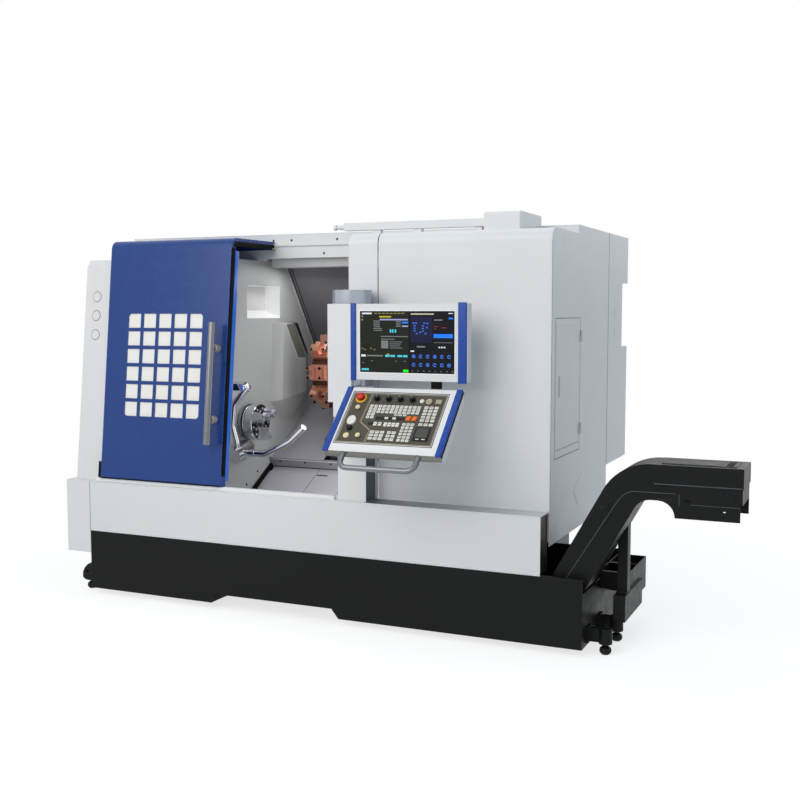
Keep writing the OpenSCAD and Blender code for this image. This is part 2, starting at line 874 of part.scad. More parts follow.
module roof_duct() {
  x = [pillar_x0 - 105, cover_x1 - 381];
  machine_frame() color(steel) {
    block([x[0], duct_y, cover_top + 25], [x[1], duct_y + 46, cover_top + 63]);
    for (p = [pillar_x0 + 60, cover_x0 + 120, x[1] - 60]) {
      block([p, duct_y + 8, cover_top], [p + 40, duct_y + 38, cover_top + 25 + eps]);
    }
    translate([x[0], duct_y + 23, cover_top + 44]) rotate([0, -90, 0]) {
      cylinder(d = 26, h = 34);
      cylinder(d = 18, h = 62);
      translate([0, 0, 48]) cylinder(d = 30, h = 16, $fn = 6);
    }
  }
}

module roof_box() {
  x = [cover_x1 - 375, cover_x1 - 195];
  machine_frame() color(white) along_x(x[0], x[1] - x[0]) translate([duct_y - 36, cover_top]) difference() {
    square([step_y - duct_y + 32, 90]);
    translate([-eps, 76]) polygon([[0, 0], [0, 15], [15, 15]]);
  }
}

// Sliding door

// Outline of the door's inside, moved inward by off
module door_inside(off) {
  c = [lean_y(cover_top - door_r, door_r), cover_top - door_r];
  a = lean_y(door_z, off);
  tip = c + (door_r - off) * [-cos(lean), sin(lean)];
  back = step_y - 12;
  polygon([[a, door_z], tip, c, [c[0], cover_top - off], [back, cover_top - off], [back, door_z]]);
  translate(c) circle(door_r - off);
}

module door_band(x, length, out, in) {
  along_x(x, length) difference() {
    door_inside(out);
    door_inside(in);
  }
}

module window_cells(margin) {
  intersection() {
    rounded_square([window_w, window_h], 18);
    for (i = [0 : cell_cols - 1], j = [0 : cell_rows - 1]) {
      translate([i * (cell_w + cell_bar), j * (cell_h + cell_bar)]) square([cell_w, cell_h]);
    }
  }
}

module door_panel() {
  lip = 44;
  back = step_y - 12;
  x1 = door_x + door_w;
  machine_frame() color(blue) {
    difference() {
      door_band(door_x, door_w, 0, sheet);
      lean_frame() translate([window_x, sheet + eps, window_z]) rotate([90, 0, 0]) {
        linear_extrude(sheet + 2 * eps) window_cells();
      }
    }
    door_band(door_x, sheet, 0, door_t);
    door_band(x1 - sheet, sheet, 0, door_t);
    block([door_x, door_y + 1, door_z], [x1, door_y + door_t, door_z + sheet]);
    block([door_x, back - sheet, cover_top - lip], [x1, back, cover_top - 1]);
    block([x1 - 44, door_y + 6, door_z], [x1 + 8, door_y + 36, door_z + 52]);
  }
}

module door_window() {
  m = 24;
  machine_frame() color([0.86, 0.88, 0.9, 0.6]) lean_frame() block(
    [window_x - m, sheet + way_gap, window_z - m],
    [window_x + window_w + m, sheet + way_gap + 6, window_z + window_h + m]
  );
}

module door_seal() {
  x1 = door_x + door_w;
  machine_frame() color(black) lean_frame() block([x1, 8, 60], [x1 + 5, 26, cover_top - door_z - door_r]);
}

grip_x = door_x + door_w - 52;
grip_out = 70;

module door_handle() {
  z0 = 219;
  stand_z = [z0 + 132, z0 + grip_l - 132];
  machine_frame() color(steel) lean_frame() translate([grip_x, 0, 0]) {
    translate([0, -grip_out, z0]) cylinder(d = grip_d, h = grip_l);
    for (z = stand_z) translate([0, -way_gap, z]) rotate([90, 0, 0]) {
      cylinder(d = grip_d + 4, h = grip_out - way_gap - 6);
      cylinder(d = grip_d - 6, h = grip_out - way_gap);
    }
  }
}

// Spindle

nose_x = wall_x + 5;
chuck_x = nose_x + 22;

module spindle() {
  tail = head_x0 - 60;
  machine_frame() color(steel) translate([tail, 0, 0]) spindle_frame() difference() {
    union() {
      cylinder(d = journal_d + 44, h = 36);
      cylinder(d = journal_d, h = head_x1 + 8 - tail);
      cylinder(d = journal_d - 20, h = nose_x - tail);
      translate([0, 0, nose_x - tail]) cylinder(d = chuck_d - 24, h = chuck_x - nose_x);
    }
    translate([0, 0, -eps]) cylinder(d = spindle_bore, h = chuck_x - tail + 2 * eps);
    for (z = [8, 18, 28]) translate([0, 0, z - 3]) difference() {
      cylinder(d = journal_d + 46, h = 6);
      translate([0, 0, -eps]) cylinder(d = journal_d + 30, h = 6 + 2 * eps);
    }
  }
}

slot_d = 12;
jaw_angles = [35, 155, 275];
jaw_r = [34, chuck_d / 2 - 6];

module chuck_body() {
  x1 = chuck_x + chuck_l;
  machine_frame() color(steel) difference() {
    translate([chuck_x, 0, 0]) spindle_frame() difference() {
      cylinder(d = chuck_d, h = chuck_l);
      translate([0, 0, -eps]) cylinder(d = chuck_bore, h = chuck_l + 2 * eps);
      translate([0, 0, 14]) difference() {
        cylinder(d = chuck_d + 2, h = 5);
        translate([0, 0, -eps]) cylinder(d = chuck_d - 6, h = 5 + 2 * eps);
      }
      translate([0, 0, chuck_l - 2]) difference() {
        cylinder(d = chuck_d + 2, h = 3);
        translate([0, 0, -eps]) cylinder(d1 = chuck_d, d2 = chuck_d - 6, h = 3);
      }
    }
    for (a = jaw_angles) translate([0, spindle_y, spindle_z]) rotate([a, 0, 0]) {
      block([x1 - slot_d, 20, -slot_w / 2], [x1 + eps, chuck_d, slot_w / 2]);
    }
  }
}

module jaw(a) {
  x1 = chuck_x + chuck_l;
  g = slide_gap;
  w = slot_w / 2;
  top = x1 + jaw_h;
  color(steel) translate([0, spindle_y, spindle_z]) rotate([a, 0, 0]) difference() {
    union() {
      block([x1 - slot_d + g, jaw_r[0], g - w], [x1 + 1, jaw_r[1], w - g]);
      block([x1 + g, jaw_r[0] - 4, -w - 4], [x1 + jaw_h * 0.68, jaw_r[1] + 2, w + 4]);
      block([x1 + g, jaw_r[1] - 24, -w - 12], [x1 + jaw_h * 0.68, jaw_r[1] + 2, w + 12]);
      block([x1 + g, jaw_r[0] + 22, -w - 4], [top, jaw_r[1] + 2, w + 4]);
    }
    for (y = [jaw_r[0] + 12, jaw_r[1] - 12]) translate([x1 + jaw_h * 0.36, y, 0]) rotate([0, 90, 0]) {
      cylinder(d = 17, h = jaw_h);
    }
  }
}

module jaw_1() { machine_frame() jaw(jaw_angles[0]); }

module jaw_2() { machine_frame() jaw(jaw_angles[1]); }

module jaw_3() { machine_frame() jaw(jaw_angles[2]); }

// Tool setter: the hub's axis leans up towards the back

setter_at = [wall_x + setter_x, 311, 797];
setter_lean = 15;
setter_pin = 24;

module setter_frame() { translate(setter_at) rotate([setter_lean, 0, 0]) children(); }

module setter_bracket() {
  r = setter_d / 2;
  machine_frame() color(steel) {
    setter_frame() rotate([-90, 0, 0]) {
      translate([0, 0, 15]) cylinder(d = setter_d, h = 70);
      translate([0, 0, -40]) cylinder(d = setter_pin, h = 60);
    }
    setter_frame() block([-setter_x + 8, 22, -r + 8], [0, 80, r - 8]);
    block(
      [wall_x, setter_at[1] + 27, setter_at[2] - 60],
      [wall_x + 12, setter_at[1] + 110, setter_at[2] + 50]
    );
  }
}

module setter_arm() {
  up = [[4, -24, 24], [8, -24, 60], [-4, -24, 163], [32, -24, 293], [140, -24, 394]];
  side = [[24, -24, 8], [66, -24, 8], [172, -24, 8], [341, -24, 91], [426, -24, 165]];
  machine_frame() color(steel) setter_frame() {
    difference() {
      rotate([90, 0, 0]) translate([0, 0, -15 + way_gap]) cylinder(d = setter_d, h = 80);
      rotate([-90, 0, 0]) translate([0, 0, -40 - 1]) cylinder(d = setter_pin + 2 * run_fit, h = 80);
    }
    bent_tube(up, tube_d);
    bent_tube(side, tube_d);
    bar(side[1] + [10, 0, 0], side[1] + [46, 0, 0], tube_d + 10);
    bar(side[4] - [22, 0, 19], side[4] + [12, 0, 10], tube_d + 8);
    block([34, -44, 372], [116, -4, 410]);
    block([20, -36, 378], [34 + eps, -12, 404]);
  }
}

// Carriage and turret

module saddle() {
  top = saddle_h1;
  runner = [90, rail_w + 60, 0];
  base = -bed_drop + rail_h + slide_gap;
  low = -bed_drop + 6;
  machine_frame() color(dark) slant_frame() {
    block([saddle_x, saddle_s[0], base], [saddle_x1, saddle_s[1], top]);
    for (x = [saddle_x + 12, saddle_x1 - 12 - runner[0]], s = rail_s, side = [-1, 1]) {
      translate([x, s, 0]) mirror([0, side < 0 ? 1 : 0, 0]) {
        block([0, rail_w / 2 + slide_gap, low], [runner[0], runner[1] / 2, base + eps]);
      }
    }
    for (x = [saddle_x + 40, saddle_x1 - 84]) {
      block([x, saddle_s[0] + 10, top - eps], [x + 44, saddle_s[1] - 10, top + slide_rail_h]);
    }
  }
}

module cross_slide() {
  low = saddle_h1 + slide_rail_h + slide_gap;
  x0 = turret_x + turret_l + slide_gap;
  x1 = saddle_x1 - 20;
  deck = low + 46;
  machine_frame() color(dark) difference() {
    union() {
      slant_frame() block([saddle_x + 26, slide_s[0], low - 22], [saddle_x1 - 66, slide_s[1], deck]);
      slant_frame() block([x0 + 30, turret_s - 120, low], [x1, turret_s + 120, 0]);
      turret_frame() translate([x0, 0, 0]) rotate([0, 90, 0]) cylinder(r = housing_r - 16, h = x1 - x0);
      turret_frame() translate([x0 + 40, 0, 0]) rotate([0, 90, 0]) cylinder(r = housing_r, h = x1 - x0 - 40);
    }
    slant_frame() for (x = [saddle_x + 40, saddle_x1 - 84]) {
      block(
        [x - slide_gap, slide_s[0] - eps, low - 22 - eps],
        [x + 44 + slide_gap, slide_s[1] + eps, low]
      );
    }
    turret_frame() translate([x0 - eps, 0, 0]) rotate([0, 90, 0]) cylinder(d = 90 + 2 * run_fit, h = 80);
  }
}

module turret_disc() {
  machine_frame() color(copper) turret_frame() translate([turret_x, 0, 0]) rotate([0, 90, 0]) {
    difference() {
      rotate([0, 0, 180 / stations])
        cylinder(d = turret_af / cos(180 / stations), h = turret_l, $fn = stations);
      translate([0, 0, -eps]) cylinder(d = turret_af * 0.52, h = 12 + eps);
    }
    cylinder(d = turret_af * 0.3, h = 20);
    translate([0, 0, turret_l - eps]) cylinder(d = 90, h = 70);
  }
}

module tool_holders() {
  a = turret_af / 2;
  l = turret_l - 4;
  w = holder_w / 2;
  step = 360 / stations;
  machine_frame() color(copper) turret_frame() for (i = [0 : stations - 1]) rotate([i * step, 0, 0]) {
    translate([turret_x - 8, 0, 0]) difference() {
      union() {
        block([8, -w, a], [l, w, a + 22]);
        block([0, -w + 10, a + 22 - eps], [l - 12, w - 10, a + holder_h]);
      }
      block([l - 62, -w - eps, a + 34], [l - 34, w + eps, a + holder_h + eps]);
      if (i % 2 == 0) block([-eps, -13, a + 22], [40, 13, a + holder_h + eps]);
      for (x = [14, l - 24], y = [18 - w, w - 18]) translate([x, y, a + 30]) cylinder(d = 13, h = holder_h);
      if (i % 2 == 1) translate([-eps, 0, a + 43]) rotate([0, 90, 0]) cylinder(d = 26, h = 46);
    }
  }
}

// Pendant

module pendant_column() {
  x0 = pillar_x0 - 11;
  machine_frame() color(white) {
    block([x0, 28, ledge_z], [x0 + 154, cover_y, column_z]);
    block([post_x - 54, post_y - post_d / 2 + 12, column_z - 100], [post_x + 54, 28 + eps, column_z]);
    translate([post_x, post_y, column_z - 24]) cylinder(d = post_d, h = 24);
  }
}

module swivel_post() {
  machine_frame() color(steel) translate([post_x, post_y, column_z]) difference() {
    cylinder(d = post_d, h = post_h);
    translate([0, 0, -eps]) cylinder(d = post_d - 16, h = post_h - 6 + eps);
  }
}

spine_w = 125;
collar_z = [monitor_z - 92, monitor_z + monitor_h - 90];
screen_x = monitor_x + 46;
screen_z = monitor_z + 37;

module pendant_housing() {
  spine_x = monitor_x - spine_w;
  spine_z = monitor_z - 112;
  back = post_y - post_d / 2 - 5;
  machine_frame() color(white) {
    block([spine_x, pendant_y - 5, desk_z + way_gap], [monitor_x + eps, back, monitor_z + monitor_h]);
    block([spine_x, pendant_y - 5, spine_z], [desk_x - way_gap, back, desk_z + 1]);
    block([spine_x + 28, pendant_y - 5, spine_z - 70], [monitor_x - 18, back, spine_z + eps]);
    difference() {
      block(
        [monitor_x, pendant_y, monitor_z],
        [monitor_x + monitor_w, pendant_y + 46, monitor_z + monitor_h]
      );
      translate([post_x, post_y, monitor_z - eps]) cylinder(d = post_d + 6, h = monitor_h + 2 * eps);
      block(
        [screen_x - slide_gap, pendant_y - eps, screen_z - slide_gap],
        [screen_x + screen_w + slide_gap, pendant_y + 5, screen_z + screen_h + slide_gap]
      );
      block(
        [monitor_x + 80, pendant_y + 12, monitor_z + 30],
        [monitor_x + monitor_w - 40, pendant_y + 46 + eps, monitor_z + monitor_h - 30]
      );
    }
    block(
      [monitor_x + 80 - eps, pendant_y + 11, monitor_z + 30 - eps],
      [monitor_x + monitor_w - 40 + eps, pendant_y + 104, monitor_z + monitor_h - 30 + eps]
    );
    translate([post_x, post_y, 0]) difference() {
      for (z = collar_z) translate([0, 0, z]) cylinder(d = post_d + 2 * collar_t, h = 54);
      translate([0, 0, collar_z[0] - eps]) cylinder(d = post_d + 2 * run_fit, h = post_h);
    }
    desk_link();
  }
}

// Bracket under the desk and the strut that hangs the desk on the monitor
module desk_link() {
  back = post_y - post_d / 2 - 5;
  y1 = pendant_y + desk_t * sin(desk_tilt);
  z1 = desk_z - desk_t * cos(desk_tilt);
  run = 96;
  gap = way_gap / cos(desk_tilt);
  along_x(monitor_x - 60, 120) polygon([
    [back, z1 - (y1 - back) * tan(desk_tilt) - gap],
    [back - run, z1 - (y1 - back + run) * tan(desk_tilt) - gap],
    [back - run, z1 - (y1 - back + run) * tan(desk_tilt) - 30], [back, z1 - 150]
  ]);
  block(
    [monitor_x - 60, pendant_y - 5, z1 - 150], [desk_x - way_gap, back, monitor_z - 100]
  );
  translate([monitor_x + 408, 0, 0])
    block([0, pendant_y + 8, desk_z + way_gap], [40, pendant_y + 36, monitor_z + eps]);
}

module monitor_screen() {
  machine_frame() color([0.05, 0.06, 0.08]) block(
    [screen_x, pendant_y + 1, screen_z],
    [screen_x + screen_w, pendant_y + 5, screen_z + screen_h]
  );
}

panel_u = [46, desk_w - 62];
panel_w = [31, desk_l - 51];
panel_d = 7;
// Places on the desk, as shares of the key panel's width and of its length down the slope
function across(share) = panel_u[0] + share * (panel_u[1] - panel_u[0]);
function down(share) = panel_w[0] + share * (panel_w[1] - panel_w[0]);
estop_at = [across(0.095), down(0.117)];
switch_at = [for (i = [0 : 3]) [across(0.27 + 0.1266 * i), down(0.12)]];
button_at = [[across(0.103), down(0.314)], [across(0.219), down(0.866)]];

module desk_place(at) { translate([at[0], -at[1], 0]) children(); }

module control_desk() {
  cut = 15;
  machine_frame() color(white) desk_frame() difference() {
    rotate([90, 0, 90]) linear_extrude(desk_w) polygon([
      [0, 0], [-desk_l, 0], [-desk_l, -desk_t * 0.75], [-desk_l + cut, -desk_t],
      [-desk_t / 2, -desk_t], [0, -desk_t * 0.45]
    ]);
    block(
      [panel_u[0] - slide_gap, -panel_w[1] - slide_gap, -panel_d],
      [panel_u[1] + slide_gap, -panel_w[0] + slide_gap, eps]
    );
    for (p = concat([estop_at], switch_at, button_at)) desk_place(p) {
      translate([0, 0, -30]) cylinder(d = 18, h = 40);
    }
  }
}

module key_field(u, w, cols, rows, size = [0.05, 0.06], pitch = [0.061, 0.077]) {
  for (i = [0 : cols - 1], j = [0 : rows - 1]) {
    a = u + i * pitch[0];
    b = w + j * pitch[1];
    block([across(a), -down(b + size[1]), -2], [across(a + size[0]), -down(b), 3]);
  }
}

module key_panel() {
  machine_frame() color([0.3, 0.29, 0.25]) desk_frame() {
    difference() {
      block([panel_u[0], -panel_w[1], -panel_d], [panel_u[1], -panel_w[0], -1.5]);
      for (p = concat([estop_at], switch_at, button_at)) desk_place(p) {
        translate([0, 0, -panel_d - eps]) cylinder(d = 16 + 2 * slide_gap, h = panel_d + 2 * eps);
      }
    }
    difference() {
      desk_place(estop_at) translate([0, 0, -2]) cylinder(d = estop_d + 16, h = 3);
      desk_place(estop_at) translate([0, 0, -3]) cylinder(d = 16 + 2 * slide_gap, h = 6);
    }
    key_field(0.177, 0.271, 6, 6);
    key_field(0.574, 0.271, 5, 2);
    key_field(0.574, 0.438, 3, 6);
    key_field(0.772, 0.438, 3, 2);
    key_field(0.325, 0.753, 4, 2);
    key_field(0.772, 0.619, 1, 1, [0.194, 0.241]);
    key_field(0.751, 0.097, 1, 1, [0.034, 0.054]);
    key_field(0.907, 0.097, 1, 1, [0.05, 0.08]);
    desk_place([across(0.823), down(0.134)]) translate([0, 0, -2]) cylinder(d = 24, h = 5);
    desk_place([across(0.091), down(0.582)]) translate([0, 0, -2]) cylinder(d = 44, h = 5);
    desk_place([across(0.091), down(0.582)]) cylinder(d1 = 30, d2 = 22, h = 14, $fn = 32);
    desk_place([across(0.095), down(0.739)]) translate([0, 0, -2]) cylinder(d = 26, h = 12);
    desk_place([across(0.095), down(0.883)]) translate([0, 0, -2]) cylinder(d = 26, h = 7);
  }
}

module grab_handle() {
  u = [102, desk_w - 110];
  bend = [[0, way_gap], [0, grab_out - 30], [30, grab_out]];
  path = concat(
    [for (p = bend) [u[0] + p[0], -desk_l - p[1], -grab_low]],
    [for (i = [2 : -1 : 0]) [u[1] - bend[i][0], -desk_l - bend[i][1], -grab_low]]
  );
  machine_frame() color(steel) desk_frame() {
    for (i = [0 : 4]) bar(path[i], path[i + 1], grab_d);
    for (i = [0 : 3]) translate(path[i + 1]) rotate([0, 0, 90 + 45 * i]) rotate([0, 90, 0]) {
      rotate([0, 0, -90]) sphere(d = grab_d * 1.04);
    }
  }
}

module emergency_stop() {
  machine_frame() color([0.75, 0.08, 0.06]) desk_frame() desk_place(estop_at) {
    translate([0, 0, -16]) cylinder(d = 16, h = 30);
    translate([0, 0, 8]) rotate_extrude() polygon([
      [0, 0], [estop_d / 2 - 4, 0], [estop_d / 2, 4], [estop_d / 2, 9],
      [estop_d / 2 - 4, 14], [estop_d / 4, 17], [0, 18]
    ]);
  }
}

module rotary_switch(i) {
  color(black) desk_frame() desk_place(switch_at[i]) {
    translate([0, 0, -16]) cylinder(d = 16, h = 18);
    translate([0, 0, slide_gap - 1]) cylinder(d = knob_d, h = 8);
    translate([0, 0, 6]) cylinder(d = knob_d - 8, h = 14);
    block([-3, -knob_d / 2 + 1, 2], [3, knob_d / 2 - 1, 22]);
  }
}

module rotary_switch_1() { machine_frame() rotary_switch(0); }

module rotary_switch_2() { machine_frame() rotary_switch(1); }

module rotary_switch_3() { machine_frame() rotary_switch(2); }

module rotary_switch_4() { machine_frame() rotary_switch(3); }

module push_button(i, tint) {
  color(tint) desk_frame() desk_place(button_at[i]) {
    translate([0, 0, -16]) cylinder(d = 16, h = 20);
    translate([0, 0, 3]) cylinder(d = button_d, h = 5);
    translate([0, 0, 8 - eps]) cylinder(d1 = button_d, d2 = button_d - 5, h = 2 + eps);
  }
}

module push_button_1() { machine_frame() push_button(0, [0.85, 0.85, 0.7]); }

module push_button_2() { machine_frame() push_button(1, [0.9, 0.85, 0.6]); }

// Chip conveyor

// Casing along its path: a level trunk in the tray, an incline and a level head
head_z = conv_top - conv_t;
bend_low = [bend_cx, trunk_top + conv_r];
slope_up = (conv_out_r + conv_r) * cos(conv_angle) + head_z - conv_r - bend_low[1];
slope_l = slope_up / sin(conv_angle);
slope_at = bend_low + conv_r * [sin(conv_angle), -cos(conv_angle)];
bend_high = [slope_at[0] + slope_l * cos(conv_angle) + conv_out_r * sin(conv_angle), head_z - conv_r];

// Points on an arc between two angles
function turn(angle) = [cos(angle), sin(angle)];
function arc(c, r, from, to) = [for (i = [0 : 16]) c + r * turn(from + (to - from) * i / 16)];

// Side outline of the casing, moved inward by off
module conveyor_side(off, x0, x1) {
  up = conv_angle - 90;
  over = conv_angle + 90;
  polygon(concat(
    [[x0, tray_floor + off]],
    arc(bend_low, conv_out_r - off, -90, up),
    arc(bend_high, conv_r + off, over, 90),
    [[x1, head_z + off], [x1, conv_top - off]],
    arc(bend_high, conv_out_r - off, 90, over),
    arc(bend_low, conv_r + off, up, -90),
    [[x0, trunk_top - off]]
  ));
}

head_x = conv_x1 - 378;

module conveyor_casing() {
  y1 = conv_y + conv_w;
  skirt = [conv_x1 - 284, conv_x1 - 8];
  skirt_r = 73;
  skirt_low = head_z - skirt_r;
  machine_frame() color(black) {
    difference() {
      along_y(conv_y, conv_w) conveyor_side(0, conv_x0, conv_x1);
      along_y(conv_y + sheet, conv_w - 2 * sheet) conveyor_side(sheet, conv_x0 + sheet, conv_x1 - sheet);
      block([conv_x0 + 30, conv_y + 20, trunk_top - 2 * sheet], [bend_cx - 180, y1 - 20, trunk_top + eps]);
      block([skirt[0] + 30, conv_y + sheet, head_z - eps], [skirt[1] - 30, y1 - sheet, head_z + 2 * sheet]);
    }
    for (y = [conv_y - 8, y1]) block([head_x, y, conv_top - 89], [conv_x1, y + 8, conv_top]);
    for (side = [[conv_y - sheet, skirt[1]], [y1, conv_x1]], y = side[0]) difference() {
      union() {
        block([skirt[0], y, skirt_low], [side[1], y + sheet, conv_top - 89 + eps]);
        along_y(y, sheet) translate([skirt[0] - skirt_r, skirt_low]) difference() {
          square([skirt_r + eps, skirt_r + 8]);
          circle(skirt_r);
        }
      }
      for (at = [[211, 119], [258, 97], [210, 45]]) {
        translate([skirt[0] + at[0], y - eps, skirt_low + at[1]]) rotate([-90, 0, 0]) {
          cylinder(d = 12, h = sheet + 2 * eps);
        }
      }
      block([conv_x1 - 22, y1 - eps, conv_top - 145], [conv_x1 + eps, y1 + sheet + eps, conv_top - 117]);
    }
    translate([base_l + 76, conv_y + 1, conv_top - 215]) rotate([90, 0, 0]) {
      cylinder(d = 54, h = 7);
      cylinder(d = 26, h = 12);
    }
    block([conv_x1, conv_y - 8, conv_top - 89], [conv_x1 + sheet, y1 + 8, conv_top]);
    block([head_x + 30, conv_y + 26, conv_top - eps], [conv_x1 - 30, y1 - 26, conv_top + 3]);
  }
}

tank_x1 = base_l + 154;
tank_z = bracket_z + bracket_h + 8;
tank_step = tank_z + 122;
tank_y = [185, 568, 712];
leg_w = [46, 60];
leg_x = tank_x1 - 4 - leg_w[0];
leg_y = conv_y + conv_w - leg_w[1];

module conveyor_leg() {
  line = base_l - conv_foot;
  foot_top = trunk_top - conv_t / 2;
  // Height of the casing's underside on the incline
  function under(x) = foot_top + (x - line) * tan(conv_angle) - conv_t / 2 / cos(conv_angle);
  x1 = leg_x + leg_w[0];
  machine_frame() color(black) {
    along_y(leg_y, leg_w[1]) polygon([
      [leg_x, tank_step], [leg_x, under(leg_x) - way_gap], [x1, under(x1) - way_gap], [x1, tank_step]
    ]);
    block([leg_x - 4, leg_y - 10, tank_step], [x1, leg_y + leg_w[1] + 20, tank_step + 8]);
  }
}

module coolant_tank() {
  top = tank_step + 80;
  wall = 3;
  front = conv_y + conv_w + 26;
  x1 = tank_x1 - 12;
  machine_frame() color(black) {
    // Arm that carries the conveyor's leg
    block([leg_x - 6, tank_y[0], tank_z], [tank_x1, tank_y[1], tank_step]);
    difference() {
      union() {
        block([base_l, front, tank_step - 2 * wall], [x1, tank_y[2], top]);
        block([base_l, tank_y[1] - eps, tank_z + 46], [x1, tank_y[2], tank_step]);
      }
      block([base_l + wall, front + wall, tank_step + wall], [x1 - wall, tank_y[2] - wall, top + eps]);
      block(
        [base_l + wall, tank_y[1] + wall, tank_z + 46 + wall],
        [x1 - wall, tank_y[2] - wall, tank_step + 2 * wall]
      );
    }
    for (y = [front, tank_y[1] - 53]) {
      block([base_l, y, tank_step], [x1 - eps, y + 6, top - eps]);
      block([base_l, y - 14, top - 2 * wall], [tank_x1 - 66, y + 6, top - eps]);
    }
  }
}

base_tray();
levelling_feet();
bed_casting();
bed_rails();
headstock_housing();
spindle_bearings();
front_apron();
door_lower_rail();
left_end_cover();
roof_panel();
header_beam();
work_lamp();
centre_pillar();
right_front_cover();
right_side_panel();
rear_cover();
electrical_cabinet();
headstock_wall();
way_cover_fixed();
chamber_back_wall();
chip_pan();
roof_duct();
roof_box();
pendant_column();
swivel_post();
conveyor_casing();
conveyor_leg();
coolant_tank();
setter_bracket();
door_panel();
door_window();
door_seal();
door_handle();
spindle();
chuck_body();
jaw_1();
jaw_2();
jaw_3();
setter_arm();
way_cover_a();
way_cover_b();
saddle();
saddle_cover();
cross_slide();
turret_disc();
tool_holders();
pendant_housing();
monitor_screen();
control_desk();
key_panel();
grab_handle();
emergency_stop();
rotary_switch_1();
rotary_switch_2();
rotary_switch_3();
rotary_switch_4();
push_button_1();
push_button_2();
side_access_door();
electrical_door();
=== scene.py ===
"""Looks of a slant-bed turning centre: paints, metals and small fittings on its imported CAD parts."""

import math

import bmesh
import bpy
from mathutils import Matrix, Vector


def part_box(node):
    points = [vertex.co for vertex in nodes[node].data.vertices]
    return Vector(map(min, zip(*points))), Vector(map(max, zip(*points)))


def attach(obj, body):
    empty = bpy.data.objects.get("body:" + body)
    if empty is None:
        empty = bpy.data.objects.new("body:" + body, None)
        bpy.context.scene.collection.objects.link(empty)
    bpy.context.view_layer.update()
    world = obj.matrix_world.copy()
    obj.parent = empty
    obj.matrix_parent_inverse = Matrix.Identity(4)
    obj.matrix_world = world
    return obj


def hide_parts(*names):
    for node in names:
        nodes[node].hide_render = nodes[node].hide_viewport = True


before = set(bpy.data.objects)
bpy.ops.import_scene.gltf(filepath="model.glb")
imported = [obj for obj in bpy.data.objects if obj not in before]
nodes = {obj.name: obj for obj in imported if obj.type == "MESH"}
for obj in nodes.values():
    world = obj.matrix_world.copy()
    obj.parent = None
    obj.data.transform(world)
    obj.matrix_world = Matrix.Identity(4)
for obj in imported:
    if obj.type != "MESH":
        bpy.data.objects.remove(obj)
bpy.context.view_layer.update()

# Machine millimetres to the frame's metres: the apron's front left corner is at x -160, y 0
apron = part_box("front_apron")[0]
BASE = Matrix.Translation((apron.x + 0.160, apron.y, 0)) @ Matrix.Scale(0.001, 4)


def turned(at, degrees):
    """A local frame at a machine point, turned about X."""
    return Matrix.Translation(at) @ Matrix.Rotation(math.radians(degrees), 4, "X")


DESK = turned((1653, -100, 1205), 45)
DOOR_TILT, DOOR_Y, DOOR_Z = 6.2, 15, 650
LEAN = turned((0, DOOR_Y, DOOR_Z), -DOOR_TILT)
SLANT = turned((0, 450, 950), 30)
TURRET = Matrix.Translation((985, 909, 1215))
CHUCK = Matrix.Translation((827, 450, 950))
SETTER = turned((778, 311, 797), 15)
# Plates drawn in machine depth and height, thick along X
ACROSS = Matrix(((0, 0, 1, 0), (1, 0, 0, 0), (0, 1, 0, 0), (0, 0, 0, 1)))
UPRIGHT = Matrix.Rotation(math.radians(90), 4, "X")
# Directions that faces look in, and the outer faces that carry most lines
FRONT, RIGHT, UP = (0, -1, 0), (1, 0, 0), (0, 0, 1)
SIDE_X = 2581
WALL_X = 730
COWL_X = 793
DOOR_X = 844
# Angles of the three jaws, heights of the door handle's posts along the leaning door
JAWS = (35, 155, 275)
GRIP_POSTS = (351, 723)
# Faces that meet at more than this many degrees keep a sharp edge
SHARP_ANGLE = 35
TUBE_SIDES = 28


def rgb(r, g, b):
    """Display colour, 0 to 255, as the linear colour that shaders use."""
    c = [v / 255 for v in (r, g, b)]
    return tuple(v / 12.92 if v < 0.04045 else ((v + 0.055) / 1.055) ** 2.4 for v in c) + (1.0,)


def times(colour, k):
    return tuple(min(1.0, v * k) for v in colour[:3]) + (1.0,)


# Materials


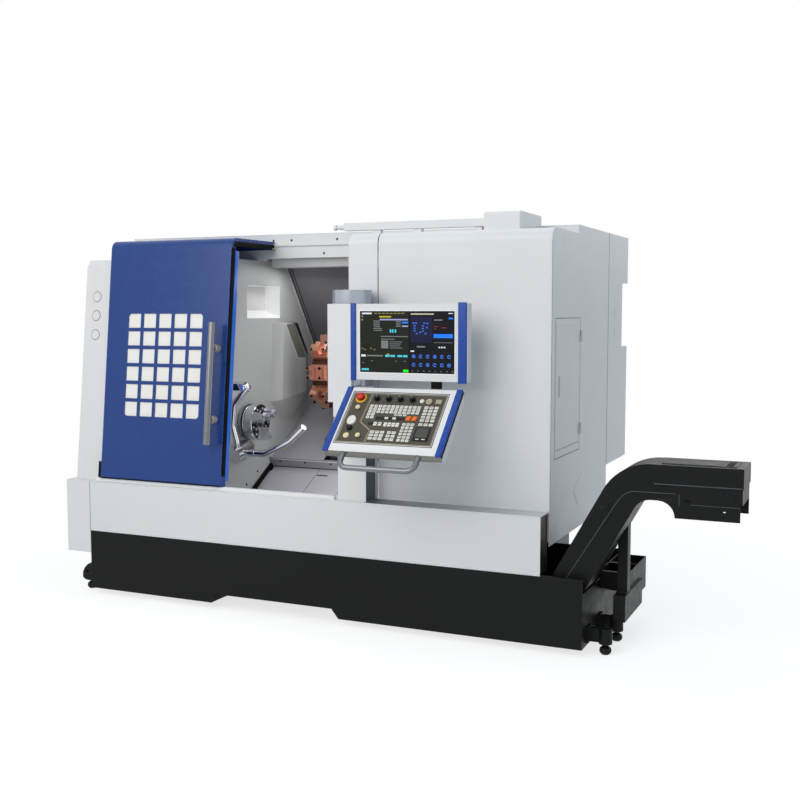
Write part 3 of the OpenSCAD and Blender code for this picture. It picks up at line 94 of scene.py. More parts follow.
class Shader:
    """A Principled material with small helpers for its texture nodes."""

    def __init__(self, name):
        self.material = bpy.data.materials.new(name)
        self.material.use_nodes = True
        self.tree = self.material.node_tree
        self.bsdf = self.tree.nodes["Principled BSDF"]
        self.coords = self.node("ShaderNodeTexCoord").outputs["Object"]

    def node(self, kind, **values):
        n = self.tree.nodes.new(kind)
        for key, value in values.items():
            setattr(n, key, value)
        return n

    def link(self, a, b):
        self.tree.links.new(a, b)

    def set(self, **values):
        for key, value in values.items():
            self.bsdf.inputs[key.replace("_", " ")].default_value = value

    def noise(self, scale, detail=3.0, stretch=(1, 1, 1), rough=0.5):
        at = self.node("ShaderNodeMapping")
        at.inputs["Scale"].default_value = stretch
        self.link(self.coords, at.inputs["Vector"])
        n = self.node("ShaderNodeTexNoise")
        n.inputs["Scale"].default_value = scale
        n.inputs["Detail"].default_value = detail
        n.inputs["Roughness"].default_value = rough
        self.link(at.outputs["Vector"], n.inputs["Vector"])
        return n.outputs["Fac"]

    def range(self, value, low, high, start=0.3, end=0.7):
        n = self.node("ShaderNodeMapRange")
        n.inputs["From Min"].default_value = start
        n.inputs["From Max"].default_value = end
        n.inputs["To Min"].default_value = low
        n.inputs["To Max"].default_value = high
        self.link(value, n.inputs["Value"])
        return n.outputs["Result"]

    def ramp(self, value, *stops):
        n = self.node("ShaderNodeValToRGB")
        while len(n.color_ramp.elements) < len(stops):
            n.color_ramp.elements.new(0.5)
        for e, (at, colour) in zip(n.color_ramp.elements, stops):
            e.position = at
            e.color = colour
        self.link(value, n.inputs["Fac"])
        return n.outputs["Color"]

    def mix(self, share, a, b):
        n = self.node("ShaderNodeMix", data_type="RGBA")
        self.link(share, n.inputs["Factor"])
        for value, socket in ((a, n.inputs[6]), (b, n.inputs[7])):
            if isinstance(value, tuple):
                socket.default_value = value
            else:
                self.link(value, socket)
        return n.outputs[2]

    def edges(self, radius):
        """1 along sharp edges, where paint is thin and where paint() lays a painted edge highlight, and 0 on flat
        faces.
        """
        soft = self.node("ShaderNodeBevel", samples=4)
        soft.inputs["Radius"].default_value = radius
        flat = self.node("ShaderNodeNewGeometry")
        dot = self.node("ShaderNodeVectorMath", operation="DOT_PRODUCT")
        self.link(soft.outputs["Normal"], dot.inputs[0])
        self.link(flat.outputs["Normal"], dot.inputs[1])
        return soft.outputs["Normal"], self.range(dot.outputs["Value"], 1.0, 0.0, 0.86, 0.995)

    def bump(self, height, strength, distance, normal=None):
        n = self.node("ShaderNodeBump")
        n.inputs["Strength"].default_value = strength
        n.inputs["Distance"].default_value = distance
        self.link(height, n.inputs["Height"])
        if normal is not None:
            self.link(normal, n.inputs["Normal"])
        self.link(n.outputs["Normal"], self.bsdf.inputs["Normal"])


def paint(
    name, colour, rough, peel, wear_and_edge_highlight=None, radius=0.003, spread=0.018, coat=0.0, grain=420.0, gloss=0.5, glow=0.0
):
    """Sheet-metal paint: faint clouding, orange-peel grain, and lighter edges that are partly wear and partly a
    painted edge highlight.
    """
    s = Shader(name)
    cloud = s.noise(2.2, 4.0)
    tint = s.ramp(cloud, (0.3, times(colour, 1 - spread)), (0.7, times(colour, 1 + spread)))
    normal, edge = s.edges(radius)
    scuff = s.range(s.noise(60.0, 5.0), 0.0, 1.0, 0.42, 0.62)
    gate = s.node("ShaderNodeMath", operation="MULTIPLY")
    s.link(edge, gate.inputs[0])
    s.link(scuff, gate.inputs[1])
    # Sharp edges take the edge colour: partly wear, partly a painted edge highlight
    s.link(s.mix(gate.outputs["Value"], tint, wear_and_edge_highlight or times(colour, 1.25)), s.bsdf.inputs["Base Color"])
    s.link(s.range(s.noise(18.0, 4.0), rough - 0.06, rough + 0.06), s.bsdf.inputs["Roughness"])
    s.bump(s.noise(grain, 2.0), peel, 0.0006, normal)
    s.set(Coat_Weight=coat, Coat_Roughness=0.12, Specular_IOR_Level=gloss)
    # Emission makes the enamel glow: painted light, as no lamp is there
    if glow:
        s.set(Emission_Color=colour, Emission_Strength=glow)
    return s.material


def painted_shade_ramp(name, near, far, start, end):
    """Enamel whose colour runs from one tone to another along X: the darker end is painted shade."""
    s = Shader(name)
    rough = 0.35
    split = s.node("ShaderNodeSeparateXYZ")
    s.link(s.coords, split.inputs["Vector"])
    run = s.range(split.outputs["X"], 0.0, 1.0, start, end)
    cloud = s.noise(6.0, 3.0)
    tone = [s.ramp(cloud, (0.3, times(c, 0.97)), (0.7, times(c, 1.03))) for c in (near, far)]
    s.link(s.mix(run, *tone), s.bsdf.inputs["Base Color"])
    s.link(s.range(s.noise(18.0, 4.0), rough - 0.06, rough + 0.06), s.bsdf.inputs["Roughness"])
    normal, _ = s.edges(0.002)
    s.bump(s.noise(420.0, 2.0), 0.05, 0.0006, normal)
    return s.material


def metal(name, colour, rough, stretch, grain, depth=0.06, spread=0.08, share=1.0):
    """Turned or brushed metal: streaks in roughness and colour, softened edges."""
    s = Shader(name)
    streak = s.noise(grain, 4.0, stretch, 0.6)
    tint = s.ramp(streak, (0.3, times(colour, 1 - spread)), (0.7, times(colour, 1 + spread)))
    s.link(tint, s.bsdf.inputs["Base Color"])
    s.link(s.range(streak, rough - 0.05, rough + 0.07), s.bsdf.inputs["Roughness"])
    normal, _ = s.edges(0.0015)
    s.bump(streak, depth, 0.0004, normal)
    s.set(Metallic=share)
    return s.material


def casting(name, colour, rough, depth, grain, metallic):
    """Cast or blasted surface: pits, mottled colour and dull gloss."""
    s = Shader(name)
    pit = s.noise(grain, 6.0, rough=0.65)
    tint = s.ramp(s.noise(9.0, 4.0), (0.3, times(colour, 0.9)), (0.7, times(colour, 1.1)))
    s.link(tint, s.bsdf.inputs["Base Color"])
    s.link(s.range(pit, rough - 0.08, rough + 0.1), s.bsdf.inputs["Roughness"])
    normal, _ = s.edges(0.0025)
    s.bump(pit, depth, 0.0008, normal)
    s.set(Metallic=metallic)
    return s.material


def plastic(name, colour, rough, grain=900.0, depth=0.06, glow=0.0, gloss=0.5):
    """Moulded plastic: fine spark texture and slight clouding."""
    s = Shader(name)
    tint = s.ramp(s.noise(26.0, 3.0), (0.3, times(colour, 0.95)), (0.7, times(colour, 1.05)))
    s.link(tint, s.bsdf.inputs["Base Color"])
    s.link(s.range(s.noise(70.0, 3.0), rough - 0.05, rough + 0.07), s.bsdf.inputs["Roughness"])
    normal, _ = s.edges(0.0012)
    s.bump(s.noise(grain, 2.0), depth, 0.0003, normal)
    s.set(Specular_IOR_Level=gloss)
    if glow:
        s.set(Emission_Color=colour, Emission_Strength=glow)
    return s.material


M = {
    "white": paint("white_enamel", rgb(226, 227, 229), 0.42, 0.05, wear_and_edge_highlight=rgb(238, 239, 241)),
    "painted_highlight_white": paint("white_edge_painted_highlight", rgb(250, 250, 250), 0.35, 0.03),
    "ledge": painted_shade_ramp("ledge_tray_enamel", rgb(84, 90, 104), rgb(196, 198, 203), 0.1, 0.85),
    "painted_shade_blue": paint("column_side_painted_shade", rgb(78, 83, 94), 0.4, 0.05),
    "pale": paint("pale_trim_enamel", rgb(238, 238, 238), 0.36, 0.04),
    "inner": paint("grey_inner_enamel", rgb(182, 183, 182), 0.45, 0.05),
    "niche_back": paint("niche_back_enamel", rgb(204, 204, 203), 0.4, 0.05),
    # Niche enamel with a faint glow: painted light
    "niche": paint("niche_enamel_painted_light", rgb(243, 243, 242), 0.4, 0.05, glow=0.1),
    "dark": paint("dark_cover_enamel", rgb(174, 173, 180), 0.36, 0.05, wear_and_edge_highlight=rgb(196, 196, 202), spread=0.03),
    "way": paint("way_cover_enamel", rgb(154, 153, 160), 0.36, 0.05, wear_and_edge_highlight=rgb(180, 180, 186), spread=0.03),
    "shade": paint("cowl_painted_shade_enamel", rgb(194, 195, 194), 0.45, 0.05),
    "wall": paint("dark_wall_enamel", rgb(112, 111, 116), 0.42, 0.06),
    "painted_recess_shade": paint("recess_painted_shade_enamel", rgb(114, 114, 105), 0.5, 0.06),
    "black": paint(
        "black_powder_coat", rgb(20, 21, 22), 0.42, 0.2, rgb(70, 73, 78), 0.004, 0.08, grain=260.0, gloss=0.14
    ),
    "blue": paint(
        "blue_enamel", rgb(18, 60, 130), 0.25, 0.03, rgb(70, 112, 206), 0.006, 0.012, coat=0.08, gloss=0.34
    ),
    "blue_trim": paint("blue_trim_enamel", rgb(26, 72, 162), 0.3, 0.05, wear_and_edge_highlight=rgb(20, 44, 104), gloss=0.3),
    "painted_highlight_blue": paint("blue_edge_painted_highlight", rgb(30, 108, 220), 0.35, 0.05, wear_and_edge_highlight=rgb(70, 130, 226)),
    "window": paint("window_sheet", rgb(243, 240, 235), 0.14, 0.02, spread=0.012, coat=0.6),
    "iron": casting("grey_iron", rgb(92, 94, 97), 0.55, 0.3, 80.0, 0.4),
    "steel": metal("ground_steel", rgb(176, 178, 182), 0.3, (1, 8, 8), 120.0),
    "chrome": metal("polished_chrome", rgb(214, 215, 219), 0.07, (6, 1, 1), 60.0, 0.02, 0.05),
    "satin": metal("satin_chrome", rgb(122, 124, 129), 0.2, (0.2, 1, 1), 80.0, 0.03, 0.04, share=0.6),
    "stub": metal("dull_stub_steel", rgb(186, 180, 168), 0.4, (1, 6, 1), 120.0, share=0.4),
    "post": metal("post_chrome", rgb(170, 176, 186), 0.16, (1, 1, 0.1), 60.0, 0.02, 0.03, share=0.6),
    "chuck": metal("turned_chrome", rgb(206, 208, 214), 0.06, (90, 1, 1), 30.0, 0.05, 0.16, share=0.9),
    "brushed": metal("brushed_edge_steel", rgb(128, 127, 122), 0.38, (1, 14, 14), 60.0, 0.06),
    "face": metal("chuck_face_steel", rgb(44, 44, 48), 0.3, (1, 1, 1), 90.0, 0.05, share=0.7),
    "jaw": metal("jaw_steel", rgb(178, 177, 187), 0.3, (3, 3, 9), 120.0, 0.08, share=0.45),
    "copper": casting("copper_brown_finish", rgb(206, 150, 128), 0.3, 0.08, 160.0, 0.85),
    "brown": casting("brown_cast_finish", rgb(62, 28, 18), 0.42, 0.15, 140.0, 0.3),
    "bolt": metal("blackened_bolt", rgb(38, 38, 41), 0.4, (1, 1, 1), 300.0),
    "rubber": plastic("seal_rubber", rgb(16, 16, 18), 0.65, 300.0, 0.2, gloss=0.08),
    "seam": plastic("seam_shadow", rgb(96, 99, 104), 0.7, 300.0, 0.1),
    "seam_dark": plastic("dark_grey_plastic", rgb(58, 57, 55), 0.5, 500.0, 0.1),
    "painted_highlight_black": paint("black_edge_painted_highlight", rgb(74, 76, 80), 0.4, 0.2, spread=0.1),
    "zinc": metal("zinc_screw", rgb(224, 224, 220), 0.28, (1, 1, 1), 200.0),
    "screen": plastic("screen_glass", rgb(8, 9, 11), 0.12, 1500.0, 0.01, gloss=0.15),
    "panel": plastic("key_plate", rgb(82, 78, 68), 0.45, 700.0, 0.1, gloss=0.2),
    "frame_line": plastic("key_plate_line", rgb(176, 166, 142), 0.45, 700.0, 0.06),
    "key": plastic("key_white", rgb(236, 234, 226), 0.4),
    "key_mark": plastic("key_mark", rgb(58, 57, 54), 0.5),
    "orange": plastic("key_orange", rgb(236, 112, 30), 0.4),
    "cream": plastic("button_cream", rgb(232, 222, 178), 0.35),
    "red": plastic("button_red", rgb(206, 26, 22), 0.28),
    "yellow": plastic("ring_yellow", rgb(238, 176, 36), 0.35),
    "knob": plastic("knob_black", rgb(18, 20, 23), 0.35, gloss=0.25),
}

# Lit colours of the screen
LIGHTS = {
    "ui_white": rgb(200, 204, 208),
    "ui_grey": rgb(104, 108, 108),
    "ui_olive": rgb(120, 116, 58),
    "ui_yellow": rgb(168, 156, 30),
    "ui_lilac": rgb(140, 142, 178),
    "ui_cyan": rgb(70, 176, 196),
    "ui_blue": rgb(34, 112, 226),
    "ui_icon": rgb(62, 106, 196),
    "ui_navy": rgb(24, 26, 52),
    "ui_left": rgb(26, 28, 24),
    "ui_right": rgb(15, 16, 21),
    "ui_red": rgb(132, 44, 42),
    "ui_green": rgb(40, 226, 40),
    "ui_sand": rgb(168, 162, 146),
}
for label, colour in LIGHTS.items():
    M[label] = plastic(label, colour, 0.3, 1500.0, 0.01, glow=0.55, gloss=0.1)

# Finish of each CAD node
FINISH = {
    "white": "front_apron left_end_cover roof_panel header_beam centre_pillar right_front_cover right_side_panel "
    "rear_cover electrical_cabinet roof_box roof_duct pendant_column pendant_housing side_access_door electrical_door",
    "pale": "control_desk door_lower_rail",
    "inner": "headstock_wall work_lamp",
    "wall": "chamber_back_wall",
    "way": "way_cover_fixed way_cover_a way_cover_b saddle_cover",
    "dark": "chip_pan",
    "black": "base_tray levelling_feet conveyor_casing conveyor_leg coolant_tank",
    "blue": "door_panel",
    "window": "door_window",
    "rubber": "door_seal",
    "iron": "bed_casting headstock_housing saddle cross_slide",
    "steel": "bed_rails spindle_bearings setter_bracket spindle",
    "chrome": "setter_arm",
    "post": "swivel_post",
    "satin": "grab_handle door_handle",
    "chuck": "chuck_body",
    "jaw": "jaw_1 jaw_2 jaw_3",
    "copper": "tool_holders",
    "brown": "turret_disc",
    "screen": "monitor_screen",
    "panel": "key_panel",
    "red": "emergency_stop",
    "knob": "rotary_switch_1 rotary_switch_2 rotary_switch_3 rotary_switch_4",
    "cream": "push_button_1 push_button_2",
}
for finish, names in FINISH.items():
    for name in names.split():
        slots = nodes[name].data.materials
        for i in range(max(1, len(slots))):
            if len(slots) <= i:
                slots.append(M[finish])
            else:
                slots[i] = M[finish]


# Pieces


class Piece:
    """A detail mesh, drawn in machine millimetres and set into the frame."""

    def __init__(self, name, place=None):
        self.name = name
        self.place = BASE @ place if place else BASE
        self.mesh = bmesh.new()
        self.finishes = []

    def take(self, part, finish, place=None):
        """Adds a part to the mesh, in the given finish."""
        if finish not in self.finishes:
            self.finishes.append(finish)
        for face in part.faces:
            face.material_index = self.finishes.index(finish)
        part.transform(self.place @ place if place else self.place)
        data = bpy.data.meshes.new("part")
        part.to_mesh(data)
        self.mesh.from_mesh(data)
        bpy.data.meshes.remove(data)
        part.free()

    def box(self, low, high, finish, edge=0.0, steps=2, place=None):
        """A block between two corners, with rounded edges."""
        part = bmesh.new()
        bmesh.ops.create_cube(part, size=1.0)
        low, high = Vector(low), Vector(high)
        for v in part.verts:
            v.co = Vector(low[i] + (v.co[i] + 0.5) * (high[i] - low[i]) for i in range(3))
        if edge:
            bmesh.ops.bevel(part, geom=part.edges[:], offset=edge, segments=steps, profile=0.6, affect="EDGES")
        self.take(part, finish, place)

    def lathe(self, profile, at, axis, finish, sides=40, place=None):
        """Turns (radius, height) points about a line through at: axis is a direction."""
        part = bmesh.new()
        rows = []
        for r, h in profile:
            if r < 1e-6:
                rows.append([part.verts.new((0, 0, h))])
            else:
                rows.append([part.verts.new((x, y, h)) for x, y in circle(0, 0, r, sides)])
        for a, b in zip(rows, rows[1:]):
            for i in range(sides):
                ring = [a[i % len(a)], a[(i + 1) % len(a)], b[(i + 1) % len(b)], b[i % len(b)]]
                face = [v for k, v in enumerate(ring) if v not in ring[:k]]
                if len(face) > 2:
                    part.faces.new(face)
        for row, flip in ((rows[0], True), (rows[-1], False)):
            if len(row) > 1:
                part.faces.new(row[::-1] if flip else row)
        bmesh.ops.recalc_face_normals(part, faces=part.faces[:])
        turn = Vector(UP).rotation_difference(Vector(axis)).to_matrix().to_4x4()
        part.transform(Matrix.Translation(at) @ turn)
        self.take(part, finish, place)

    def screw(self, at, axis, r, finish="bolt", place=None):
        """Pan-head screw with a hexagon socket."""
        self.lathe([(r, 0), (r, 0.35 * r), (0.8 * r, 0.62 * r), (0.5 * r, 0.66 * r)], at, axis, finish, 24, place)
        inner = Vector(at) + Vector(axis).normalized() * 0.664 * r
        self.lathe([(0.5 * r, 0), (0.46 * r, 0.03 * r)], inner, axis, "seam", 6, place)

    def strip(self, points, width, height, normal, finish, place=None, closed=False):
        """A raised line of a given width along points that lie on a face with that normal."""
        part = bmesh.new()
        normal = Vector(normal).normalized()
        pts = [Vector(p) for p in points]
        n = len(pts)
        rows = []
        for i, p in enumerate(pts):
            before = pts[i - 1] if i or closed else None
            after = pts[(i + 1) % n] if i < n - 1 or closed else None
            dirs = [(b - a).normalized() for a, b in ((before, p), (p, after)) if a and b]
            mid = sum(dirs, Vector()).normalized()
            side = mid.cross(normal).normalized()
            k = 1.0 / max(0.4, side.dot(dirs[0].cross(normal).normalized()))
            a, b = p + side * width / 2 * k, p - side * width / 2 * k
            lift = normal * height
            rows.append([part.verts.new(q) for q in (a, a * 0.8 + b * 0.2 + lift, a * 0.2 + b * 0.8 + lift, b)])
        for i in range(n if closed else n - 1):
            a, b = rows[i], rows[(i + 1) % n]
            for j in range(3):
                part.faces.new((a[j], a[j + 1], b[j + 1], b[j]))
            part.faces.new((a[3], a[0], b[0], b[3]))
        if not closed:
            part.faces.new(rows[0][::-1])
            part.faces.new(rows[-1])
        bmesh.ops.recalc_face_normals(part, faces=part.faces[:])
        self.take(part, finish, place)

    def tube(self, points, r, finish):
        """A round bar along points that lie in one local XY plane."""
        part = bmesh.new()
        pts = [Vector(p) for p in points]
        rows = []
        for i, p in enumerate(pts):
            run = (pts[min(i + 1, len(pts) - 1)] - pts[max(i - 1, 0)]).normalized()
            side = run.cross(Vector(UP))
            turn = circle(0, 0, r, TUBE_SIDES)
            rows.append([part.verts.new(p + side * x + Vector((0, 0, y))) for x, y in turn])
        for a, b in zip(rows, rows[1:]):
            for j in range(TUBE_SIDES):
                k = (j + 1) % TUBE_SIDES
                part.faces.new((a[j], a[k], b[k], b[j]))
        part.faces.new(rows[0][::-1])
        part.faces.new(rows[-1])
        bmesh.ops.recalc_face_normals(part, faces=part.faces[:])
        self.take(part, finish)

    def plate(self, outline, low, high, finish, holes=(), edge=0.0, place=None):
        """A flat plate in the local XY plane between two heights, with round or free holes."""
        part = bmesh.new()
        loops = [outline] + list(holes)
        for loop in loops:
            ring = [part.verts.new((x, y, low)) for x, y in loop]
            for a, b in zip(ring, ring[1:] + ring[:1]):
                part.edges.new((a, b))
        bmesh.ops.triangle_fill(part, use_beauty=True, use_dissolve=False, edges=part.edges[:])
        grown = bmesh.ops.extrude_face_region(part, geom=part.faces[:])["geom"]
        for v in grown:
            if isinstance(v, bmesh.types.BMVert):
                v.co.z = high
        bmesh.ops.recalc_face_normals(part, faces=part.faces[:])
        if edge:
            upper = [e for e in part.edges if min(v.co.z for v in e.verts) > high - 1e-6]
            rim = [e for e in upper if e.is_manifold and e.calc_face_angle(0) > 1.2]
            bmesh.ops.bevel(part, geom=rim, offset=edge, segments=2, profile=0.6, affect="EDGES")
        self.take(part, finish, place)

    def done(self, body, replaces=()):
        """Makes the object: it rides a body, takes a material for each finish, and may replace CAD nodes."""
        data = bpy.data.meshes.new(self.name)
        self.mesh.to_mesh(data)
        self.mesh.free()
        for finish in self.finishes:
            data.materials.append(M[finish])
        for face in data.polygons:
            face.use_smooth = True
        data.set_sharp_from_angle(angle=math.radians(SHARP_ANGLE))
        piece = bpy.data.objects.new(self.name, data)
        bpy.context.scene.collection.objects.link(piece)
        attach(piece, body)
        if replaces:
            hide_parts(*replaces)


def circle(x, y, r, n=40):
    """Points round a centre."""
    return [(x + r * math.cos(2 * math.pi * i / n), y + r * math.sin(2 * math.pi * i / n)) for i in range(n)]


def rounded(x0, y0, x1, y1, r, n=6):
    """Outline of a rectangle with rounded corners."""
    out = []
    for cx, cy, a in ((x1 - r, y1 - r, 0), (x0 + r, y1 - r, 90), (x0 + r, y0 + r, 180), (x1 - r, y0 + r, 270)):
        for i in range(n + 1):
            t = math.radians(a + 90 * i / n)
            out.append((cx + r * math.cos(t), cy + r * math.sin(t)))
    return out


# Screws, seams and pressed lines of the sheet-metal enclosure
enclosure = Piece("enclosure_fasteners")
for x, z in ((945, 1958), (1230, 1958), (1149, 1883), (830, 1958), (1500, 1958)):
    enclosure.screw((x, 604, z), FRONT, 6)
for y, z in ((450, 594), (566, 653)):
    enclosure.screw((730, y, z), RIGHT, 6)
for x in range(800, 2290, 165):
    enclosure.screw((x, 95, -345), FRONT, 6, place=SLANT)
enclosure.done("frame")

seams = Piece("enclosure_seams")
seams.strip([(SIDE_X, 1243, 715), (SIDE_X, 1243, 1990)], 5, 0.8, RIGHT, "seam")
seams.strip([(0, 0, 358), (0, 0, 628)], 3, 0.5, FRONT, "seam")
for z in (1421, 1527):
    slot = [(SIDE_X, 1390 + y, z + h) for y, h in rounded(-9, 0, 9, 54, 8.9, 5)]
    seams.strip(slot, 3, 0.8, RIGHT, "pale", closed=True)
seams.strip([(SIDE_X, 699, 738), (SIDE_X, 566, 660), (SIDE_X, 627, 594)], 6, 1.2, RIGHT, "pale")
# Bright lines along the apron's top and bottom edges: painted edge highlights
for z, width in ((629, 5), (359, 4)):
    seams.strip([(2, 0, z), (2576, 0, z)], width, 0.6, FRONT, "painted_highlight_white")
seams.strip([(SIDE_X, 137, 665), (SIDE_X, 137, 1890)], 3, 0.5, RIGHT, "seam")
# Ledge tray: dark by the column and paler to the right, a painted shade
seams.box((1684, 3, 631.8), (2573, 131, 633), "ledge", 0.4, 1)
# Thin dark sheet on the right side of the pendant column: painted shade under the desk
seams.box((1680.8, 30, 633.2), (1682, 131, 998), "painted_shade_blue", 0.4, 1)
for z in (1655, 1550, 1443):
    ring = [(x, 36, h) for x, h in circle(-50, z - 650, 28.6)]
    seams.strip(ring, 3, 0.4, FRONT, "seam", LEAN, True)
seams.strip([(1689, 133, 634), (1689, 133, 1160)], 5, 0.8, FRONT, "pale")
seams.strip([(1692, 128, 633), (2570, 128, 633)], 5, 0.6, UP, "pale")
seams.done("frame")

# Base: lifting lug at the left end, side of the forklift pocket
lug = Piece("base_lug")
outline = [(0.5, 170), (-16, 170), (-44, 158), (-66, 136), (-79, 110), (-79, 80), (-60, 68), (0.5, 68)]
lug.plate(outline, -32, -20, "black", [circle(-40, 118, 13, 24)], 1.5, UPRIGHT)
lug.box((776, 5, 35.5), (789.6, 420, 84), "black", 1.0)
lug.done("frame")

# Linings of the chamber: white niche in an enamel that glows as painted light, dark recess and shaded side of the cowl
# as plates of painted shade, black wiper, lines of the floor sheets
lining = Piece("chamber_linings")
y0, y1, z0, z1, back, mouth = 478, 838, 1524, 1710, 627, WALL_X - 0.6
air, skin, rise = 0.6, 2.6, 46
lining.box((back, y0 + air, z0 + rise), (back + 2, y1 - air, z1 - air), "niche_back", 0.4, 1)
lining.box((back, y0 + air, z1 - skin), (mouth, y1 - air, z1 - air), "niche", 0.4, 1)
lining.box((back, y0 + air, z0 + 4), (mouth, y0 + skin, z1 - air), "niche", 0.4, 1)
lining.box((back, y1 - skin, z0 + 4), (mouth, y1 - air, z1 - air), "niche", 0.4, 1)
sill = Matrix.Translation((WALL_X, 0, z0)) @ Matrix.Rotation(math.atan2(rise, 107), 4, "Y")
lining.box((-112, y0 + skin, 0.2), (-1, y1 - skin, 1.8), "niche", 0.4, 1, sill)
# Dark plate at the back of the wall's recess: painted shade in the pocket
lining.plate([(890, 1280), (1200, 1280), (1200, 1512), (890, 1512)], 706, 709, "painted_recess_shade", place=ACROSS)
on_cowl = Matrix.Translation((COWL_X, 0, 0)) @ ACROSS
# Plates on the cowl's face: a dark one for a shadowed recess and a grey one for the shaded part below it, both painted
# shade
lining.plate([(802, 1489.5), (895.5, 1489.5), (1029.5, 1287), (936, 1292)], 0.05, 0.7, "painted_recess_shade", place=on_cowl)
lining.plate([(936, 1291), (1029.5, 1286), (1035.5, 1087), (936, 1075)], 0.05, 0.5, "shade", place=on_cowl)
lining.strip([(COWL_X, 798, 1489), (COWL_X, 933, 1290)], 6, 1.0, RIGHT, "pale")
# The back wall leans from its upper edge to its lower one: a pale line on the side wall, two dark ones on it
top, low = Vector((0, 895, 1868)), Vector((0, 1426, 1115))
out = Vector((0, top.z - low.z, low.y - top.y)) * -1
lining.strip([Vector((WALL_X, -12, 0)) + p for p in (top, low)], 6, 0.8, RIGHT, "pale")
for x in (738, 756):
    lining.strip([Vector((x, 0, 0)) + p for p in (top, low)], 5, 1.0, out, "rubber")
lining.box((730.2, -170, -387.6), (741, 90, -358), "rubber", 1.5, place=SLANT)
for s in (-150, 56):
    lining.box((730.2, s, -387.6), (750, s + 30, -366), "rubber", 1.5, place=SLANT)
for x in (1039, 1245):
    lining.strip([(x, -150, -388), (x + 10, 94, -388)], 3, 0.4, UP, "seam_dark", SLANT)
for h, finish in ((-332, "pale"), (-384, "rubber")):
    lining.strip([(752, 94.8, h), (2280, 94.8, h)], 5, 0.8, FRONT, finish, SLANT)
lining.box((1056, 36, -388), (1124, 44, -386.5), "rubber", 0.5, place=SLANT)
lining.done("frame")

# Conveyor: folded seams along its side and head drawn as lighter grey lines, a painted edge highlight on the black
# sheet; dark plug, slot of the lid
conveyor = Piece("conveyor_fittings")
near, head = 59.9, 56
seam = [(2640, 275), (2695, 364), (2898, 694), (2918, 724), (2936, 745), (2955, 760), (2978, 768), (3000, 769)]
conveyor.strip([(x, near, z) for x, z in seam + [(3166, 769)]], 4, 1.0, FRONT, "painted_highlight_black")
conveyor.strip([(3185, head, 770), (3185, head, 718)], 4, 1.0, FRONT, "painted_highlight_black")
conveyor.strip([(3233, head, 726), (3440, head, 726)], 3, 1.0, FRONT, "painted_highlight_black")
conveyor.strip([(3077, 52, 810), (3450, 52, 810)], 5, 1.2, FRONT, "painted_highlight_black")
conveyor.strip([(2860, near, 604), (2894, near, 664)], 3, 0.8, FRONT, "rubber")
plug = [(3220 + 16 * math.cos(0.3 * i), 741 + 6 * math.sin(0.3 * i)) for i in range(21)]
conveyor.plate(plug, 0, 0.8, "rubber", place=Matrix.Translation((0, head, 0)) @ UPRIGHT)
conveyor.box((3374, 104, 897), (3404, 262, 899), "rubber", 0.8)
# Lighter grey lines along the lid: painted edge highlight
for y in (96, 254):
    conveyor.strip([(3105, y, 898), (3360, y, 898)], 4, 0.8, UP, "painted_highlight_black")
conveyor.done("frame")

# Pendant: blue side mouldings, screen bezel as a pale line in the glowing niche enamel, a painted highlight and
# painted light, dark border of the desk and bright band of its front edge
trim = Piece("pendant_trim")
trim.box((1667, -108, 1238), (1694, -98.5, 1604), "blue_trim", 4, 3)
trim.box((2212, -108, 1236), (2254, -98.5, 1606), "blue_trim", 5, 3)
bezel = [(1711, -100, 1275), (2197, -100, 1275), (2197, -100, 1569), (1711, -100, 1569)]
# Bezel line in the glowing niche enamel: a painted highlight round the screen
trim.strip(bezel, 7, 1.6, FRONT, "niche", closed=True)
trim.box((0, -384, -8), (29, 2, 6), "blue_trim", 4, 3, DESK)
trim.box((555, -384, -8), (583, 2, 6), "blue_trim", 4, 3, DESK)
trim.box((581.6, -383, -17), (584.4, 0, -7), "rubber", 0.8, place=DESK)
trim.strip([(41, -336, 0), (525, -336, 0), (525, -26, 0), (41, -26, 0)], 4, 0.6, UP, "rubber", DESK, True)
trim.box((2075.5, -93.5, 1207), (2118.5, -62.5, 1241), "rubber", 1.5)
trim.box((1, -382.6, -44), (581, -381, -2), "brushed", 0.6, place=DESK)
trim.box((560, -384, -46), (583.5, -372, -40), "steel", 2.5, 3, DESK)
trim.done("pendant")

# Grab handle: one bent tube with washers on the desk's front edge
grab = Piece("grab_tube", DESK)
left, right, front, reach, bend, level = 102, 472, -381, 80, 42, -16
corner = [math.radians(7.5 * i) for i in range(13)]
path = [(left, front - 1)]
path += [(left + bend * (1 - math.cos(t)), front - reach + bend * (1 - math.sin(t))) for t in corner]
path += [(left + right - x, y) for x, y in reversed(path)]
grab.tube([(x, y, level) for x, y in path], 13, "satin")
washer = [(13.2, 0.4), (17, 0.4), (17, 2.4), (15.8, 3.4), (13.2, 3.4)]
for x in (left, right):
    grab.lathe(washer, (x, front, level), FRONT, "satin")
grab.done("pendant", ["grab_handle"])

# Door: black gasket and a bright blue strip on its right edge, a lighter copy of the door blue that is a painted
# highlight; black seal under the top, foot of the left edge
gasket = Piece("door_gasket")


def door_line(v, bend=False):
    """Path on the door's right edge at a depth: up the leaning sheet, or round the bend and along the top."""
    tilt, radius, top = math.radians(DOOR_TILT), 50, 1950

    def at(depth, z):
        return Vector((DOOR_X, DOOR_Y + depth / math.cos(tilt) + (z - DOOR_Z) * math.tan(tilt), z))

    if not bend:
        return [at(v, z) for z in (706, 1896)]
    centre = at(radius, top - radius)
    arc = [math.pi - tilt - (math.pi / 2 - tilt) * i / 6 for i in range(7)]
    pts = [centre + (radius - v) * Vector((0, math.cos(t), math.sin(t))) for t in arc]
    return pts + [(DOOR_X, 586, top - v)]


